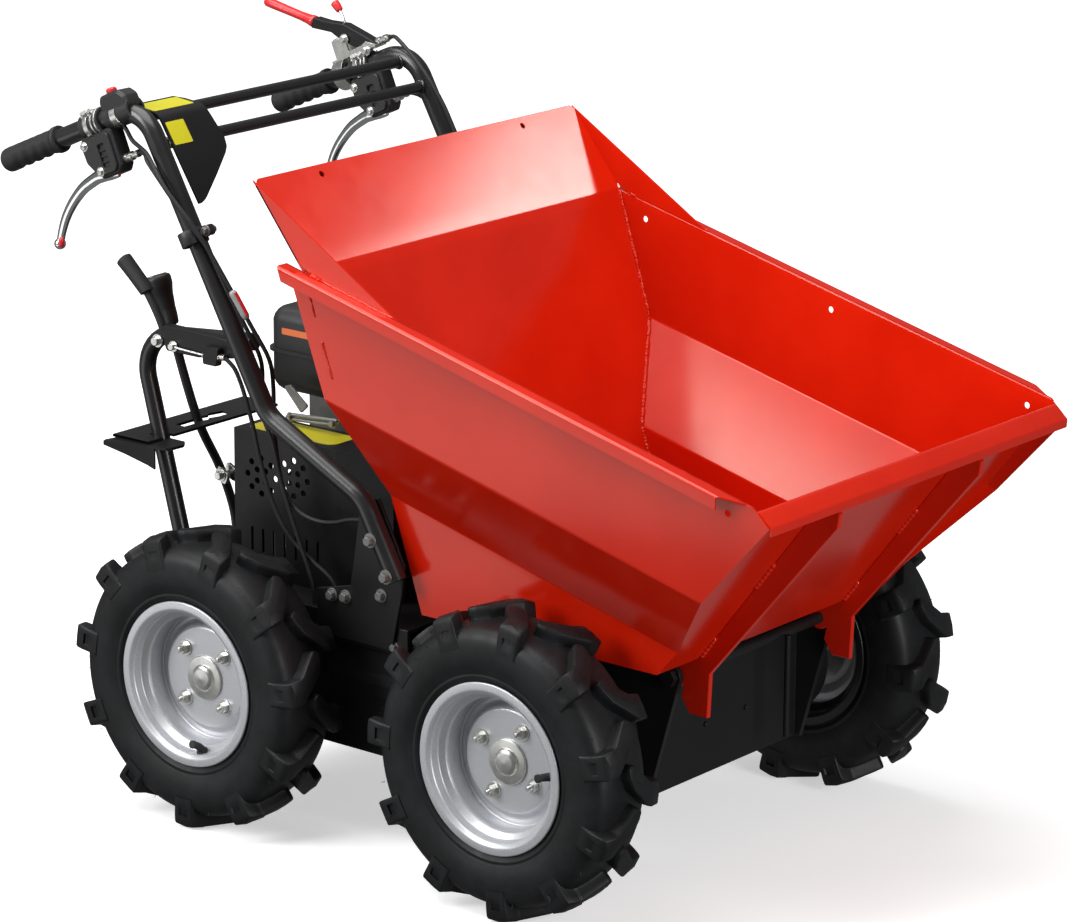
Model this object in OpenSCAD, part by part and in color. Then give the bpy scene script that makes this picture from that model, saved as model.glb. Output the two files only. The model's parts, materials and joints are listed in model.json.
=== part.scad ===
// Walk-behind four-wheel-drive mini dumper with a tipping steel hopper.
// Millimetres, +Z up, +X forward (the tipping side), origin on the ground
// at the middle of the whole machine.

/* [Wheels] */
// Distance between the front and rear axles
wheelbase = 530; // [500:1:580]
// Tyre radius at the tips of the lugs
tyre_r = 205; // [198:1:212]
// Width of a tyre
tyre_w = 104; // [96:1:108]
// Gap between a tyre and the bearing boss beside it
wheel_gap = 10; // [8:0.5:16]
// Radius of the rim at the tyre's bead
bead_r = 102; // [98:0.5:106]
// How far the rim's flange stands above the bead
flange_h = 12; // [9:0.5:14]
// How far the rim's flange lies inside the tyre's side
flange_in = 6; // [4:0.5:9]
// Number of lugs on each side of a tyre
lug_count = 11; // [9:1:13]
// Height of the lugs above the tread
lug_h = 16; // [12:1:20]
// Width of a lug's bar
lug_w = 24; // [20:1:28]
// Width of a lug at the tyre's shoulder
lug_foot = 34; // [28:1:38]
// How far a lug sweeps round the tread on its way to the middle
lug_sweep = 42; // [34:1:50]
// Sheet thickness of a rim
rim_t = 3.5; // [2.5:0.25:4]
// Depth of the rim's well below the bead
well_deep = 10; // [6:0.5:12]
// Half width of the rim's well
well_half = 22; // [18:1:26]
// Thickness of the pressed wheel disc
disc_t = 4; // [3:0.5:6]
// Face of the wheel disc from the middle of the tyre
disc_face = 5; // [0:0.5:12]
// Radius of the flat of the wheel disc
disc_flat_r = 72; // [70:0.5:76]
// Pitch circle of the wheel studs
stud_pcd = 100; // [94:1:106]
// Number of wheel studs
stud_count = 4; // [3:1:5]
// Radius of a wheel stud
stud_r = 5; // [4:0.5:6]
// Length of a stud beyond the wheel disc
stud_h = 15; // [12:0.5:18]
// Radius of the stub axle
axle_r = 15; // [12:0.5:18]
// Radius of the cap over the end of the axle
cap_r = 30.5; // [28:0.5:34]
// Radius of the dome in the cap
dome_r = 18; // [15:0.5:21]

/* [Hopper] */
// Thickness of the hopper's sheet
sheet_t = 2.5; // [2:0.1:4]
// How far the rim and the folds fall towards the front, in degrees
rim_fall = 14; // [10:0.5:17]
// Rear end of the rim, ahead of the middle of the wheelbase
rim_rear_x = -115; // [-130:1:-105]
// Height of the rim at its rear end
rim_rear_z = 802; // [790:1:815]
// Half width of the hopper over its rim
rim_half = 353; // [345:1:360]
// Width of the flat rim
rim_w = 22; // [16:1:26]
// How far the rim's edge is turned down
rim_drop = 18; // [12:1:24]
// How far the wall leans in between the rim and the first fold
wall_lean = 5; // [0:1:12]
// Height of the wall's first fold over the front tyres
fold_clear = 138.5; // [125:0.5:150]
// Distance between the wall's two folds, square to the rim
fold_gap = 121; // [110:1:130]
// Gap between the hopper's lower walls and the handle tubes
hopper_gap = 10.8; // [8:0.1:14]
// Height of the underside of the floor
floor_z = 336; // [332:1:345]
// Rear end of the side walls at the floor
floor_rear_x = 46; // [40:1:60]
// Front end of the floor
floor_front_x = 436; // [425:1:445]
// Front edge of the tipping lip
lip_x = 664; // [655:1:680]
// How far the tipping lip lies below the line of the rim
lip_drop = 18; // [12:1:26]
// Width of the bar along the lip
lip_w = 26; // [20:1:32]
// Thickness of the bar along the lip
lip_t = 10; // [6:1:14]
// How far the side walls run past the rear wall
rear_inset = 25; // [18:1:32]
// How far the rim stops short of the lip
rim_cut = 67; // [55:1:90]
// How far the side wall's corner is cut off behind the lip
corner_cut = 26; // [20:1:34]
// How far the splash guard leans back past the rim
guard_back = 58; // [50:1:70]
// Height of the splash guard above the rim
guard_h = 101; // [90:1:115]
// Length of the splash guard's side wings along the rim
wing_l = 184; // [165:1:205]
// Radius of the small holes in the walls
hole_r = 4.5; // [3.5:0.25:6]
// First wall hole from the rear end of the rim
hole_start = 85; // [70:1:100]
// Spacing of the wall holes along the rim
hole_pitch = 330; // [300:1:340]
// Spacing of the splash guard's holes
guard_hole_pitch = 420; // [380:1:460]
// Splash guard's holes from its top edge
guard_hole_in = 14; // [10:1:20]

/* [Tipping hinge] */
// Pivot ahead of the middle of the wheelbase
pivot_x = 398; // [394:1:402]
// Height of the pivot
pivot_z = 305; // [302:1:308]
// Radius of the pivot shaft
pivot_r = 8; // [6:0.5:10]
// Radial clearance of the legs on the pivot shaft
pivot_gap = 0.1; // [0.05:0.01:0.1]
// Gap between a leg and the chassis cheek beside it
leg_gap = 3; // [2:0.5:5]
// Thickness of a leg and its rib
leg_t = 8; // [6:0.5:10]
// Front edge of the legs
leg_front_x = 449; // [445:1:455]
// Rear edge of the legs
leg_rear_x = 406; // [403:1:412]
// Lower end of the legs
leg_low_z = 257; // [254:1:264]
// Depth of the ribs below the front wall
rib_h = 36; // [28:1:42]
// How far the ribs stop short of the lip
rib_stop = 45; // [35:1:60]
// Radius of the pivot eye
eye_r = 16; // [14:0.5:18]

/* [Chassis] */
// Plate thickness of the chassis
plate_t = 6; // [4:0.5:8]
// Half width of the chassis box
box_half = 173; // [171:1:176]
// Thickness of the cheeks at the sides of the chassis
cheek_t = 8; // [6:0.5:10]
// Radius of the cheeks around the pivot
cheek_r = 15; // [13:0.5:17]
// Height of the chassis floor
box_low_z = 126; // [115:1:135]
// Front face of the chassis
box_front_x = 354; // [348:1:354]
// Rear face of the chassis
box_rear_x = -390; // [-400:1:-370]
// Gap between the engine deck's folded edge and the chain case
deck_gap = 2; // [1:0.5:4]
// Height of the engine deck
deck_z = 311; // [308:1:318]
// Front edge of the engine deck
deck_front_x = 26; // [15:1:32]
// Rear edge of the engine deck
deck_rear_x = -440; // [-450:1:-425]
// Depth of the deck's folded edges
deck_edge = 38; // [30:1:45]
// Width of a chain case
case_w = 77; // [70:1:84]
// Radius of the chain cases around the axles
case_r = 84; // [75:1:90]
// Rear face of the cross channel under the hopper
rest_x = 90; // [80:1:120]
// Width of the cross channel under the hopper
rest_w = 60; // [50:1:80]
// Depth of the cross channel below the top of the chassis
rest_deep = 60; // [40:1:80]
// Radius of the bearing bosses on the chain cases
boss_r = 32; // [26:1:40]
// How far the bearing bosses stand out of the chain cases
boss_h = 22; // [16:1:26]
// Rear face of the gear casing
gearbox_rear_x = -330; // [-345:1:-320]
// Length of the gear casing
gearbox_l = 230; // [200:1:250]
// Width of the gear casing
gearbox_w = 220; // [180:1:260]

/* [Handles] */
// Radius of the handle tubes
tube_r = 13.5; // [12:0.5:15]
// Bend radius at the top of the handle tubes
tube_bend = 50; // [40:1:60]
// Bend radius low on the handle tubes
tube_low_bend = 60; // [50:1:65]
// Radius of the cross bars
bar_r = 8; // [6:0.5:10]
// Thickness of the brackets that carry the handles
bracket_t = 5; // [4:0.5:5]
// Length of the brackets along the deck
bracket_l = 154; // [140:1:170]
// Height of the brackets' low part above the deck
bracket_low = 30; // [24:1:40]
// Rear end of the grips
grip_x = -682; // [-695:1:-670]
// Height of the grips' rear end
grip_z = 851; // [840:1:860]
// Length of a grip
grip_len = 114; // [100:1:130]
// Radius of a grip
grip_r = 17; // [16:0.5:19]
// Thickness of the grip's closed end
grip_end = 6; // [4:0.5:9]
// Number of finger grooves in a grip
groove_count = 4; // [3:1:5]
// Wall of the rings that clamp the controls
clamp_wall = 6; // [4:0.5:8]
// Width of a steering clutch housing
housing_w = 32; // [28:1:36]
// Width of a steering clutch lever
lever_w = 14; // [10:1:18]
// Width of the panel over the right bend
panel_w = 77; // [70:1:84]
// Thickness of the panel
panel_t = 3; // [2:0.5:4]
// Rear tip of the clutch lever
lever_tip_x = -704; // [-712:1:-698]
// Height of the clutch lever's tip
lever_tip_z = 999; // [994:1:1004]
// Radius of the clutch lever's sleeve
sleeve_r = 7; // [6:0.5:9]
// Width of the clutch lever's arm
arm_w = 18; // [14:1:22]
// Sheet thickness of the clutch lever's perch
perch_t = 3; // [2:0.5:4]
// Radius of the tube that guards the gear lever
guard_r = 10; // [9:0.5:12]
// Thickness of the latch lever's plate
latch_t = 5; // [4:0.5:7]
// Height of the latch lever's plate
latch_h = 48; // [40:1:54]
// Thickness of the gear gate
gate_t = 4; // [3:0.5:6]
// Length of the gear gate across the machine
gate_l = 290; // [270:1:300]
// Width of the gear gate
gate_w = 66; // [60:1:72]
// Width of the slot in the gear gate
gate_slot = 17; // [15:0.5:20]
// Radius of the gear lever
gear_r = 6; // [5:0.5:7]
// Radius of a control cable
cable_r = 3; // [2.5:0.25:3.5]

/* [Engine] */
// Middle of the engine's shaft, ahead of the middle of the wheelbase
engine_x = -230; // [-240:1:-220]
// Right face of the engine
engine_y = -110; // [-116:1:-104]
// Width of the engine
engine_w = 180; // [165:1:195]
// Length of the engine's foot
engine_l = 200; // [180:1:206]
// Thickness of the engine's foot
foot_t = 14; // [10:1:18]
// Height of the crankcase
crankcase_h = 150; // [135:1:160]
// Number of cooling fins
fin_count = 7; // [5:1:8]
// Spacing of the cooling fins
fin_pitch = 9; // [8:0.5:10]
// Thickness of a cooling fin
fin_t = 3; // [2:0.5:4]
// Radius of the recoil starter
recoil_r = 86; // [78:1:88]
// Depth of the recoil starter
recoil_h = 55; // [45:1:62]
// Rear face of the fuel tank
tank_rear_x = -357; // [-365:1:-345]
// Length of the fuel tank
tank_l = 225; // [200:1:235]
// Right face of the fuel tank
tank_right_y = -110; // [-120:1:-100]
// Width of the fuel tank
tank_w = 200; // [180:1:215]
// Underside of the fuel tank
tank_z = 545; // [540:1:555]
// Height of the fuel tank
tank_h = 122; // [110:1:130]
// Rounding of the fuel tank
tank_round = 24; // [16:1:30]
// Radius of the fuel cap
fuel_cap_r = 30; // [25:1:34]
// Length of the air cleaner
cleaner_l = 100; // [90:1:110]
// Depth of the air cleaner
cleaner_w = 85; // [75:1:92]
// Height of the air cleaner
cleaner_h = 90; // [80:1:100]
// Length of the muffler across the machine
muffler_w = 160; // [140:1:170]
// Right face of the belt cover
cover_y = -200; // [-206:1:-195]
// Rear edge of the belt cover
cover_rear_x = -336; // [-345:1:-325]
// Length of the belt cover
cover_l = 274; // [262:1:278]
// Depth of the belt cover
cover_deep = 75; // [70:1:80]
// Height of the belt cover
cover_h = 204; // [194:1:214]
// Sheet thickness of the belt cover
cover_t = 3; // [2:0.5:4]
// Radius of the belt cover's vent holes
vent_r = 4.5; // [3.5:0.25:5]
// Number of holes in a ring of vents
vent_count = 8; // [6:1:10]

/* [Hidden] */
$fn = 48;

// Gap between pieces that are seated on each other's round faces
seat = 0.3;
// How far a cut runs past the face it opens
slack = 1;
// Reach of the cutting shapes past what they cut
over = 400;
RIGHT = -1;
LEFT = 1;
FRONT = 1;
REAR = -1;

// Vectors in a plane
function unit(v) = v / norm(v);
function left_of(v) = [-v.y, v.x];
function turned(points) = [for (i = [len(points) - 1 : -1 : 0]) points[i]];
function flipped(points) = turned([for (q = points) [q.x, -q.y]]);

// Widths that follow from one another, out from the middle of the machine
case_half = box_half + case_w;
boss_half = case_half + boss_h;
track_half = boss_half + wheel_gap + tyre_w / 2;
deck_half = case_half + deck_gap + plate_t;
handle_half = deck_half + bracket_t + tube_r + seat;
floor_half = handle_half - tube_r - hopper_gap - sheet_t;
leg_y = box_half - cheek_t - leg_gap - leg_t / 2;
wall_half = rim_half - rim_w;

// Ends of the machine, and where the middle of the wheelbase lies from its middle
sleeve_start = [-606, 979];
sleeve_lean = atan2(lever_tip_z - sleeve_start.y, sleeve_start.x - lever_tip_x);
machine_rear = lever_tip_x - sleeve_r * sin(sleeve_lean);
mid_x = -(lip_x + machine_rear) / 2;

// Wheel sizes, measured outwards from the tyre's middle
half_w = tyre_w / 2;
tread_r = tyre_r - lug_h;
wall_r = (bead_r + flange_h + tread_r) / 2;
rim_half_w = half_w - flange_in;
bead_half = rim_half_w - rim_t - seat;
seat_r = bead_r - seat;
well_r = seat_r - well_deep - rim_t;
disc_back = disc_face - disc_t;
disc_dish = 10;
hub_flange_t = 9;
hub_flange_r = stud_pcd / 2 + 11;
hub_barrel_r = 24;
hub_inner = boss_half - track_half + wheel_gap / 2;
stub_end = case_half - track_half + 12;
hub_boss_r = 28;
washer_r = stud_r + 6;
washer_t = 2;
nut_r = stud_r + 4;
nut_h = 9;
cap_t = 3.5;
cap_ease = 1;
dome_h = 9;
dome_ease = [2, 7];
dome_rise = [2.5, 1];
lug_turn = [7.5, 13.4];
stud_turn = [45, 62];

// Lines of the hopper in the side view
hole_drop = rim_drop + hole_r + 1.5;
function rim_height(x) = rim_rear_z - (x - rim_rear_x) * tan(rim_fall);
fold_1_drop = (rim_height(wheelbase / 2) - 2 * tyre_r - fold_clear) * cos(rim_fall);
fold_2_drop = fold_1_drop + fold_gap;
lip_z = rim_height(lip_x) - lip_drop;
front_rise = [lip_x - floor_front_x, lip_z - floor_z];
front_along = unit(front_rise);
front_up = left_of(front_along);
rear_k = (floor_rear_x - rim_rear_x) / (rim_rear_z - floor_z);
leg_cut = [14, 20];
fold_run = rear_inset / (1 - tan(rim_fall) * rear_k);
guard_fold = [rim_rear_x + fold_run, rim_height(rim_rear_x + fold_run)];
guard_top = [rim_rear_x - guard_back, rim_rear_z + guard_h];
guard_up = unit(guard_top - guard_fold);
guard_front = -left_of(guard_up);
guard_foot = sheet_t / (guard_front * [cos(rim_fall), -sin(rim_fall)]);
wing_x = rim_rear_x + wing_l;

// Handle tube corners in the side view
grip_rise = 0.4327;
grip_lean = atan(grip_rise);
tube_start = 6;
bend_top_x = -424;
bend_mid = [-202, 570];
bend_low = [-33, 486];
tube_end = [24, 384];
function on_handle(x) = [x, grip_z + (x - grip_x) * grip_rise];
handle_path = [on_handle(grip_x + tube_start), on_handle(bend_top_x), bend_mid, bend_low, tube_end];
handle_bends = [tube_bend, tube_low_bend, tube_low_bend];
bracket_slope = [60, 45];
bracket_shoulder = [[-19, -16], [13, 0]];
bracket_nose = [[0, 16], [-4, -24]];
bracket_toe = 22;
bar_top = [-437, 942];
bar_low = [-396, 911];

// Controls, drawn along the handle tube from the place where each is clamped
clamp_r = tube_r + clamp_wall;
housing_x = -535;
housing_clamp = [8, 38];
housing_outline = [[0, -10], [2, -52], [20, -75], [54, -75], [62, -66], [62, -10]];
lever_outline = [[4, -54.6], [-12, -57], [-33, -67], [-60, -77], [-83, -90], [-101, -108], [-113, -124],
    [-102, -131], [-89, -115], [-66, -97], [-36, -83], [-8, -76], [18, -72.4]];
lever_knob = [-112, -133];
lever_knob_r = 9;
switch_clamp = [63, 20];
switch_outline = [[49, 14.2], [49, 26], [56, 31], [86, 31], [97, 25], [100, 14.2]];
switch_w = 28;
perch_x = -22;
perch_l = 90;
perch_outline = [[-12, 0], [66, 0], [66, 4], [52, 12], [42, 9], [15, 8], [15, 22], [-2, 33], [-12, 30]];
perch_clamp = [-22, 21.5];
arm_end = 8;
function arm_rear(s) = sleeve_start + s * arm_end * [sin(sleeve_lean), cos(sleeve_lean)];
arm_outline = concat([arm_rear(-1), arm_rear(1)], [[-580, 984], [-545, 984], [-510, 973], [-484, 964],
    [-492, 959], [-510, 952], [-525, 953], [-551, 960], [-569, 969]]);
lock_path = [[-551, 0, 984], [-551, 0, 987], [-557, 2, 995], [-562, 3, 1001], [-565, 3, 1004],
    [-570, 3, 1009], [-573, 3, 1012]];
lock_widths = [2, 2, 2, 5, 6.5, 6.5, 4];
panel_lean = [6, 57];
panel_bend = 24;
panel_back = 44;
panel_front = 132;
panel_foot = 14;
panel_side_z = 903;
panel_foot_z = 832;

// Latch lever and gear lever behind the engine
guard_y = -225;
guard_path = [[-418, deck_z], [-418, deck_z + 45], [-485, 627], [-272, 650]];
guard_bends = [40, 55];
latch_x = [-440, -296];
latch_stop = [-322, 16, 24];
latch_pivot = [-448, 622];
latch_path = [[-440, 613], [-448, 624], [-462, 646], [-470, 660], [-474, 666], [-506, 722], [-511, 731]];
latch_widths = [6, 6, 6, 6, 10, 11, 8];
gate_x = -502;
gate_z = 486;
gate_gusset = 34;
gate_corner = 8;
gate_step = 24;
gate_notch = 26;
slot_x = -461;
slot_y = -175;
slot_jog = 5;
slot_ease = 6;
gear_path = [[-432, -100, deck_z], [-432, -100, deck_z + 40], [slot_x, -163, gate_z], [-477, -165, 610],
    [-481, -167, 632], [-482, -168, 636], [-487, -172, 676], [-489, -173, 690]];
gear_widths = [gear_r, gear_r, gear_r, gear_r, gear_r, 10, 12, 8];

// Engine pieces around the shaft
case_half_l = engine_l / 2 - 12;
case_cut = 28;
shaft_z = deck_z + 115;
cylinder_z = deck_z + 74;
fin_w = 120;
fin_h = 100;
core_w = 84;
core_h = 78;
head_l = 20;
head_h = 90;
pedestal = [150, 130];
pedestal_in = 30;
shaft_r = 11;
shaft_l = 16;
seam_t = 4;
seam_w = 5;
cap_h = 20;
recoil_back = 5;
hood_lip = 10;
hood_steps = [28, 36, 40];
hood_vents = 12;
hood_vent = [16, 4, 4];
cleaner_gap = 10;
cleaner_z = 518;
cleaner_cut = 18;
duct_l = 40;
duct_h = 22;
muffler_l = 60;
muffler_h = 84;
muffler_cut = 16;
pipe_r = 13;
pipe_h = 14;
cover_fold = 186;
cover_turn = 16;
slot_w = 4;
slot_h = 34;
slot_pitch = 20;
slot_count = 7;
vent_rings = [[50, 143], [109, 150]];
vent_ring_r = 25;
vent_inner_r = 11;

// Routes of the control cables
cable_start = [-455.08, 885.99];
cable_side = handle_half + tube_r + cable_r + 0.6;
route_right = [[-440, -281, 892], [-421, -285, 896], [-402, -291, 890], [-382, -cable_side, 873],
    [-359, -cable_side, 850], [-336, -cable_side, 828], [-318, -290, 806], [-300, -284, 783],
    [-270, -280, 731], [-246, -272, 685], [-232, -258, 640], [-234, -252, 600], [-236, -250, 560],
    [-218, -249, 520], [-208, -247, 476], [-196, -246, 440], [-178, -245, 395], [-160, -245, 355],
    [-152, -245, 330], [-150, -245, deck_z]];
route_switch = [[-452, -278, 924], [-441, -279, 912], [-424, -283, 906], [-404, -290, 900], [-384, -297, 885],
    [-360, -301, 861], [-336, -300, 838], [-316, -296, 816], [-292, -288, 780], [-262, -279, 730],
    [-236, -268, 682], [-220, -254, 640], [-222, -244, 600], [-224, -241, 540], [-216, -240, 480],
    [-204, -239, 450], [-180, -238, 430], [-150, -237, 424], [-120, -238, 428], [-90, -241, 438],
    [-60, -246, 444], [-46, -252, 446]];
route_latch = [[-294, -252, 612], [-276, -252, 596], [-264, -252, 574], [-252, -252, 540], [-243, -252, 506],
    [-232, -251, 470], [-222, -249, 442], [-206, -246, 410], [-186, -240, 384], [-158, -236, 364],
    [-132, -234, 348], [-118, -234, 330], [-114, -234, deck_z]];
route_left = [[-440, 281, 891], [-422, 285, 892], [-406, 291, 886], [-388, cable_side, 872],
    [-360, cable_side, 838], [-320, cable_side, 774], [-270, cable_side, 690], [-225, cable_side, 612],
    [-186, cable_side, 548], [-158, 291, 500], [-140, 285, 440], [-128, 278, 390], [-122, 272, 355],
    [-120, 268, 340]];
route_clutch = [[-481, 277, 967], [-466, 277, 973], [-452, 273, 976], [-438, 266, 974], [-420, 260, 966],
    [-400, 257, 953], [-375, 256, 930], [-347, 256, 895], [-327, 256, 862], [-296, 257, 806],
    [-262, 258, 742], [-240, 256, 690], [-222, 251, 640], [-214, 247, 590], [-208, 246, 520],
    [-204, 245, 450], [-198, 245, 390], [-192, 245, 340], [-192, 245, deck_z]];

// A path moved sideways by t, with mitred corners
function mitre(a, b, c, t) =
    let (n1 = left_of(unit(b - a)), n2 = left_of(unit(c - b)))
    b + (n1 + n2) * t / (1 + n1 * n2);
function beside(p, t) = [
    for (i = [0 : len(p) - 1])
        i == 0 ? p[0] + left_of(unit(p[1] - p[0])) * t
        : i == len(p) - 1 ? p[i] + left_of(unit(p[i] - p[i - 1])) * t
        : mitre(p[i - 1], p[i], p[i + 1], t)
];

// Outline of a sheet of thickness t folded along a path
function folded(p, t) = concat(p, turned(beside(p, t)));

// Moves a part from the middle of the wheelbase to the machine's own origin
module placed() {
    translate([mid_x, 0, 0]) children();
}

// A side-view outline carried from y0 to y1
module across(y0, y1) {
    translate([0, y1, 0]) rotate([90, 0, 0]) linear_extrude(y1 - y0) children();
}

// The same, on one side of the machine, from the inner to the outer distance
module on_side(side, inner, outer) {
    across(side > 0 ? inner : -outer, side > 0 ? outer : -inner) children();
}

// A round rod between two points in space
module rod(a, b, r) {
    d = b - a;
    translate(a) rotate([0, acos(d.z / norm(d)), atan2(d.y, d.x)]) cylinder(h = norm(d), r = r);
}

// Points of a side-view path with an arc of the given radius at each inner corner
arc_steps = 8;
function run(p, i) = unit(p[i + 1] - p[i]);
function turn(p, i) = acos(run(p, i - 1) * run(p, i));
function swing(p, i) = run(p, i - 1).x * run(p, i).y > run(p, i - 1).y * run(p, i).x ? 1 : -1;
function corner(p, i, r) =
    let (a = p[i] - run(p, i - 1) * r * tan(turn(p, i) / 2))
    let (c = a + left_of(run(p, i - 1)) * r * swing(p, i))
    let (start = atan2(a.y - c.y, a.x - c.x))
    [for (k = [0 : arc_steps]) let (w = start + swing(p, i) * turn(p, i) * k / arc_steps)
        c + r * [cos(w), sin(w)]];
function bent(p, bends) = concat([p[0]],
    [for (i = [1 : len(p) - 2]) each corner(p, i, bends[i - 1])], [p[len(p) - 1]]);
function at_y(p, y) = [for (q = p) [q.x, y, q.y]];

// Points of a smooth curve through a route, as a cable lies
flow_steps = 3;
function route_at(p, i) = p[max(0, min(len(p) - 1, i))];
function flow(p) = concat([for (i = [0 : len(p) - 2], k = [0 : flow_steps - 1])
    let (t = k / flow_steps, a = route_at(p, i - 1), b = p[i], c = p[i + 1], d = route_at(p, i + 2))
    (2 * b + (c - a) * t + (2 * a - 5 * b + 4 * c - d) * t * t + (3 * b - a - 3 * c + d) * t * t * t) / 2],
    [p[len(p) - 1]]);

// A round bar, tube or cable swept along points in space, as one closed skin,
// with one radius or one for each point
module swept(p, r, sides = 16) {
    n = len(p);
    function ahead(i) = unit(p[min(i + 1, n - 1)] - p[max(i - 1, 0)]);
    function radius(i) = is_list(r) ? r[i] : r;
    function ring(i) =
        let (t = ahead(i), u = unit(cross(t, abs(t.y) < 0.9 ? [0, 1, 0] : [1, 0, 0])), v = cross(u, t))
        [for (k = [0 : sides - 1])
            p[i] + radius(i) * (u * cos(360 * k / sides) + v * sin(360 * k / sides))];
    skin = [for (i = [0 : n - 2], k = [0 : sides - 1])
        [i * sides + k, i * sides + (k + 1) % sides, (i + 1) * sides + (k + 1) % sides, (i + 1) * sides + k]];
    polyhedron([for (i = [0 : n - 1]) each ring(i)], concat(skin,
        [[for (k = [sides - 1 : -1 : 0]) k]], [[for (k = [0 : sides - 1]) (n - 1) * sides + k]]));
}

// A round tube bent in the side view at distance y, with an arc at each corner
module bent_tube(p, bends, r, y) {
    swept(at_y(bent(p, bends), y), r, 20);
}

// Puts a wheel piece, drawn with its outer side up, at one of the four wheels
module at_wheel(end, side) {
    placed() mirror([0, side > 0 ? 1 : 0, 0]) translate([end * wheelbase / 2, -track_half, tyre_r])
        rotate([90, 0, 0]) children();
}
function wheel_value(values, end) = values[end > 0 ? 1 : 0];

// One lug on the half of the tread that flip names, cut later to the tyre's outline
module lug(flip) {
    nose = 12;
    foot = lug_foot / 2;
    bar = lug_w / 2;
    knee = half_w - 22;
    outline = [[lug_sweep - bar, -nose], [lug_sweep, -nose - 2], [lug_sweep + 8, -2], [bar + 8, knee],
        [foot, half_w + slack], [-foot, half_w + slack], [-bar - 2, knee], [lug_sweep - lug_w - 4, -4]];
    rotate([90, 0, 90]) linear_extrude(tyre_r + slack) polygon([for (q = outline) [q.x, flip * q.y]]);
}

// Tyre with chevron lugs, alternating between the two halves of the tread
module tyre(end) {
    pitch = 360 / lug_count;
    side_half = [[bead_r, bead_half], [bead_r + flange_h + 2, bead_half], [wall_r - 18, half_w - 3],
        [wall_r, half_w], [tread_r - 16, half_w - 2], [tread_r - 4, half_w - 10], [tread_r, half_w - 32]];
    lug_half = [[tread_r - 24, half_w], [tyre_r - 9, half_w - 1], [tyre_r, half_w - 9]];
    color("#1b1b1c") rotate([0, 0, wheel_value(lug_turn, end)]) union() {
        rotate_extrude($fn = 96) polygon(concat(flipped(side_half), side_half));
        intersection() {
            rotate_extrude($fn = 96) polygon(concat(turned(flipped(lug_half)), turned(lug_half)));
            union() {
                for (i = [0 : lug_count - 1]) {
                    rotate([0, 0, i * pitch]) lug(1);
                    rotate([0, 0, (i + 0.5) * pitch]) lug(-1);
                }
            }
        }
    }
}

// Places in a circle for the wheel studs
module at_studs(end) {
    for (i = [0 : stud_count - 1]) {
        rotate([0, 0, wheel_value(stud_turn, end) + i * 360 / stud_count]) translate([stud_pcd / 2, 0, 0])
            children();
    }
}

// Pressed steel wheel: a barrel with a well and two flanges, and a dished disc
module rim(end) {
    flange_r = bead_r + flange_h;
    flange_z = rim_half_w - rim_t;
    step = well_half + 4;
    barrel = [[flange_r, -flange_z], [seat_r, -flange_z], [seat_r, -step], [seat_r - well_deep, -well_half],
        [seat_r - well_deep, well_half], [seat_r, step], [seat_r, flange_z], [flange_r, flange_z]];
    disc = [[hub_boss_r + seat, disc_face], [disc_flat_r - 4, disc_face], [disc_flat_r, disc_face - 2],
        [disc_flat_r + 5, disc_face - disc_dish], [well_r + slack, disc_face - disc_dish]];
    color("silver") difference() {
        union() {
            rotate_extrude($fn = 96) polygon(folded(barrel, rim_t));
            rotate_extrude($fn = 96) polygon(folded(disc, -disc_t));
        }
        at_studs(end) translate([0, 0, disc_back - slack])
            cylinder(h = disc_t + 2 * slack, r = stud_r + seat);
    }
}

// Hub with its stub axle, studs and nuts, and the cap over its end
module hub(end) {
    cap = [[0, 0], [cap_r, 0], [cap_r, cap_t - cap_ease], [cap_r - cap_ease, cap_t], [dome_r, cap_t],
        [dome_r, dome_h - dome_rise[0]], [dome_r - dome_ease[0], dome_h],
        [dome_r - dome_ease[1], dome_h + dome_rise[0]], [0, dome_h + dome_rise[0] + dome_rise[1]]];
    color("silver") {
        translate([0, 0, stub_end]) cylinder(h = disc_back - stub_end, r = axle_r);
        translate([0, 0, hub_inner]) cylinder(h = disc_back - hub_inner, r = hub_barrel_r);
        translate([0, 0, disc_back - hub_flange_t]) cylinder(h = hub_flange_t, r = hub_flange_r);
        translate([0, 0, disc_back - slack]) cylinder(h = disc_t + slack, r = hub_boss_r);
        translate([0, 0, disc_face]) rotate_extrude() polygon(cap);
        at_studs(end) {
            translate([0, 0, disc_back - slack]) cylinder(h = disc_t + slack + stud_h, r = stud_r);
            translate([0, 0, disc_face]) cylinder(h = washer_t, r = washer_r);
            translate([0, 0, disc_face]) cylinder(h = washer_t + nut_h, r = nut_r, $fn = 6);
        }
    }
}

// The hopper's folded wall, as inner faces from the turned-down edge to below the floor
wall_path = [
    [rim_half, -rim_drop], [rim_half, 0], [wall_half, 0], [wall_half - wall_lean, -fold_1_drop],
    [floor_half, -fold_2_drop], [floor_half, -over]
];

// Anything drawn in the hopper's cross section, carried along the fall of its rim
module along_rim(from, to) {
    translate([rim_rear_x, 0, rim_rear_z]) rotate([0, rim_fall, 0]) translate([from, 0, 0])
        rotate([90, 0, 90]) linear_extrude(to - from) children();
}

// Side view of the hopper, up to well above the rim
module hopper_outline() {
    corner_x = lip_x - corner_cut;
    polygon([
        [rim_rear_x, rim_rear_z + over], [rim_rear_x, rim_rear_z],
        [floor_rear_x, floor_z], [floor_front_x, floor_z], [lip_x, lip_z],
        [corner_x, rim_height(corner_x)], [corner_x, rim_rear_z + over]
    ]);
}

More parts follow.
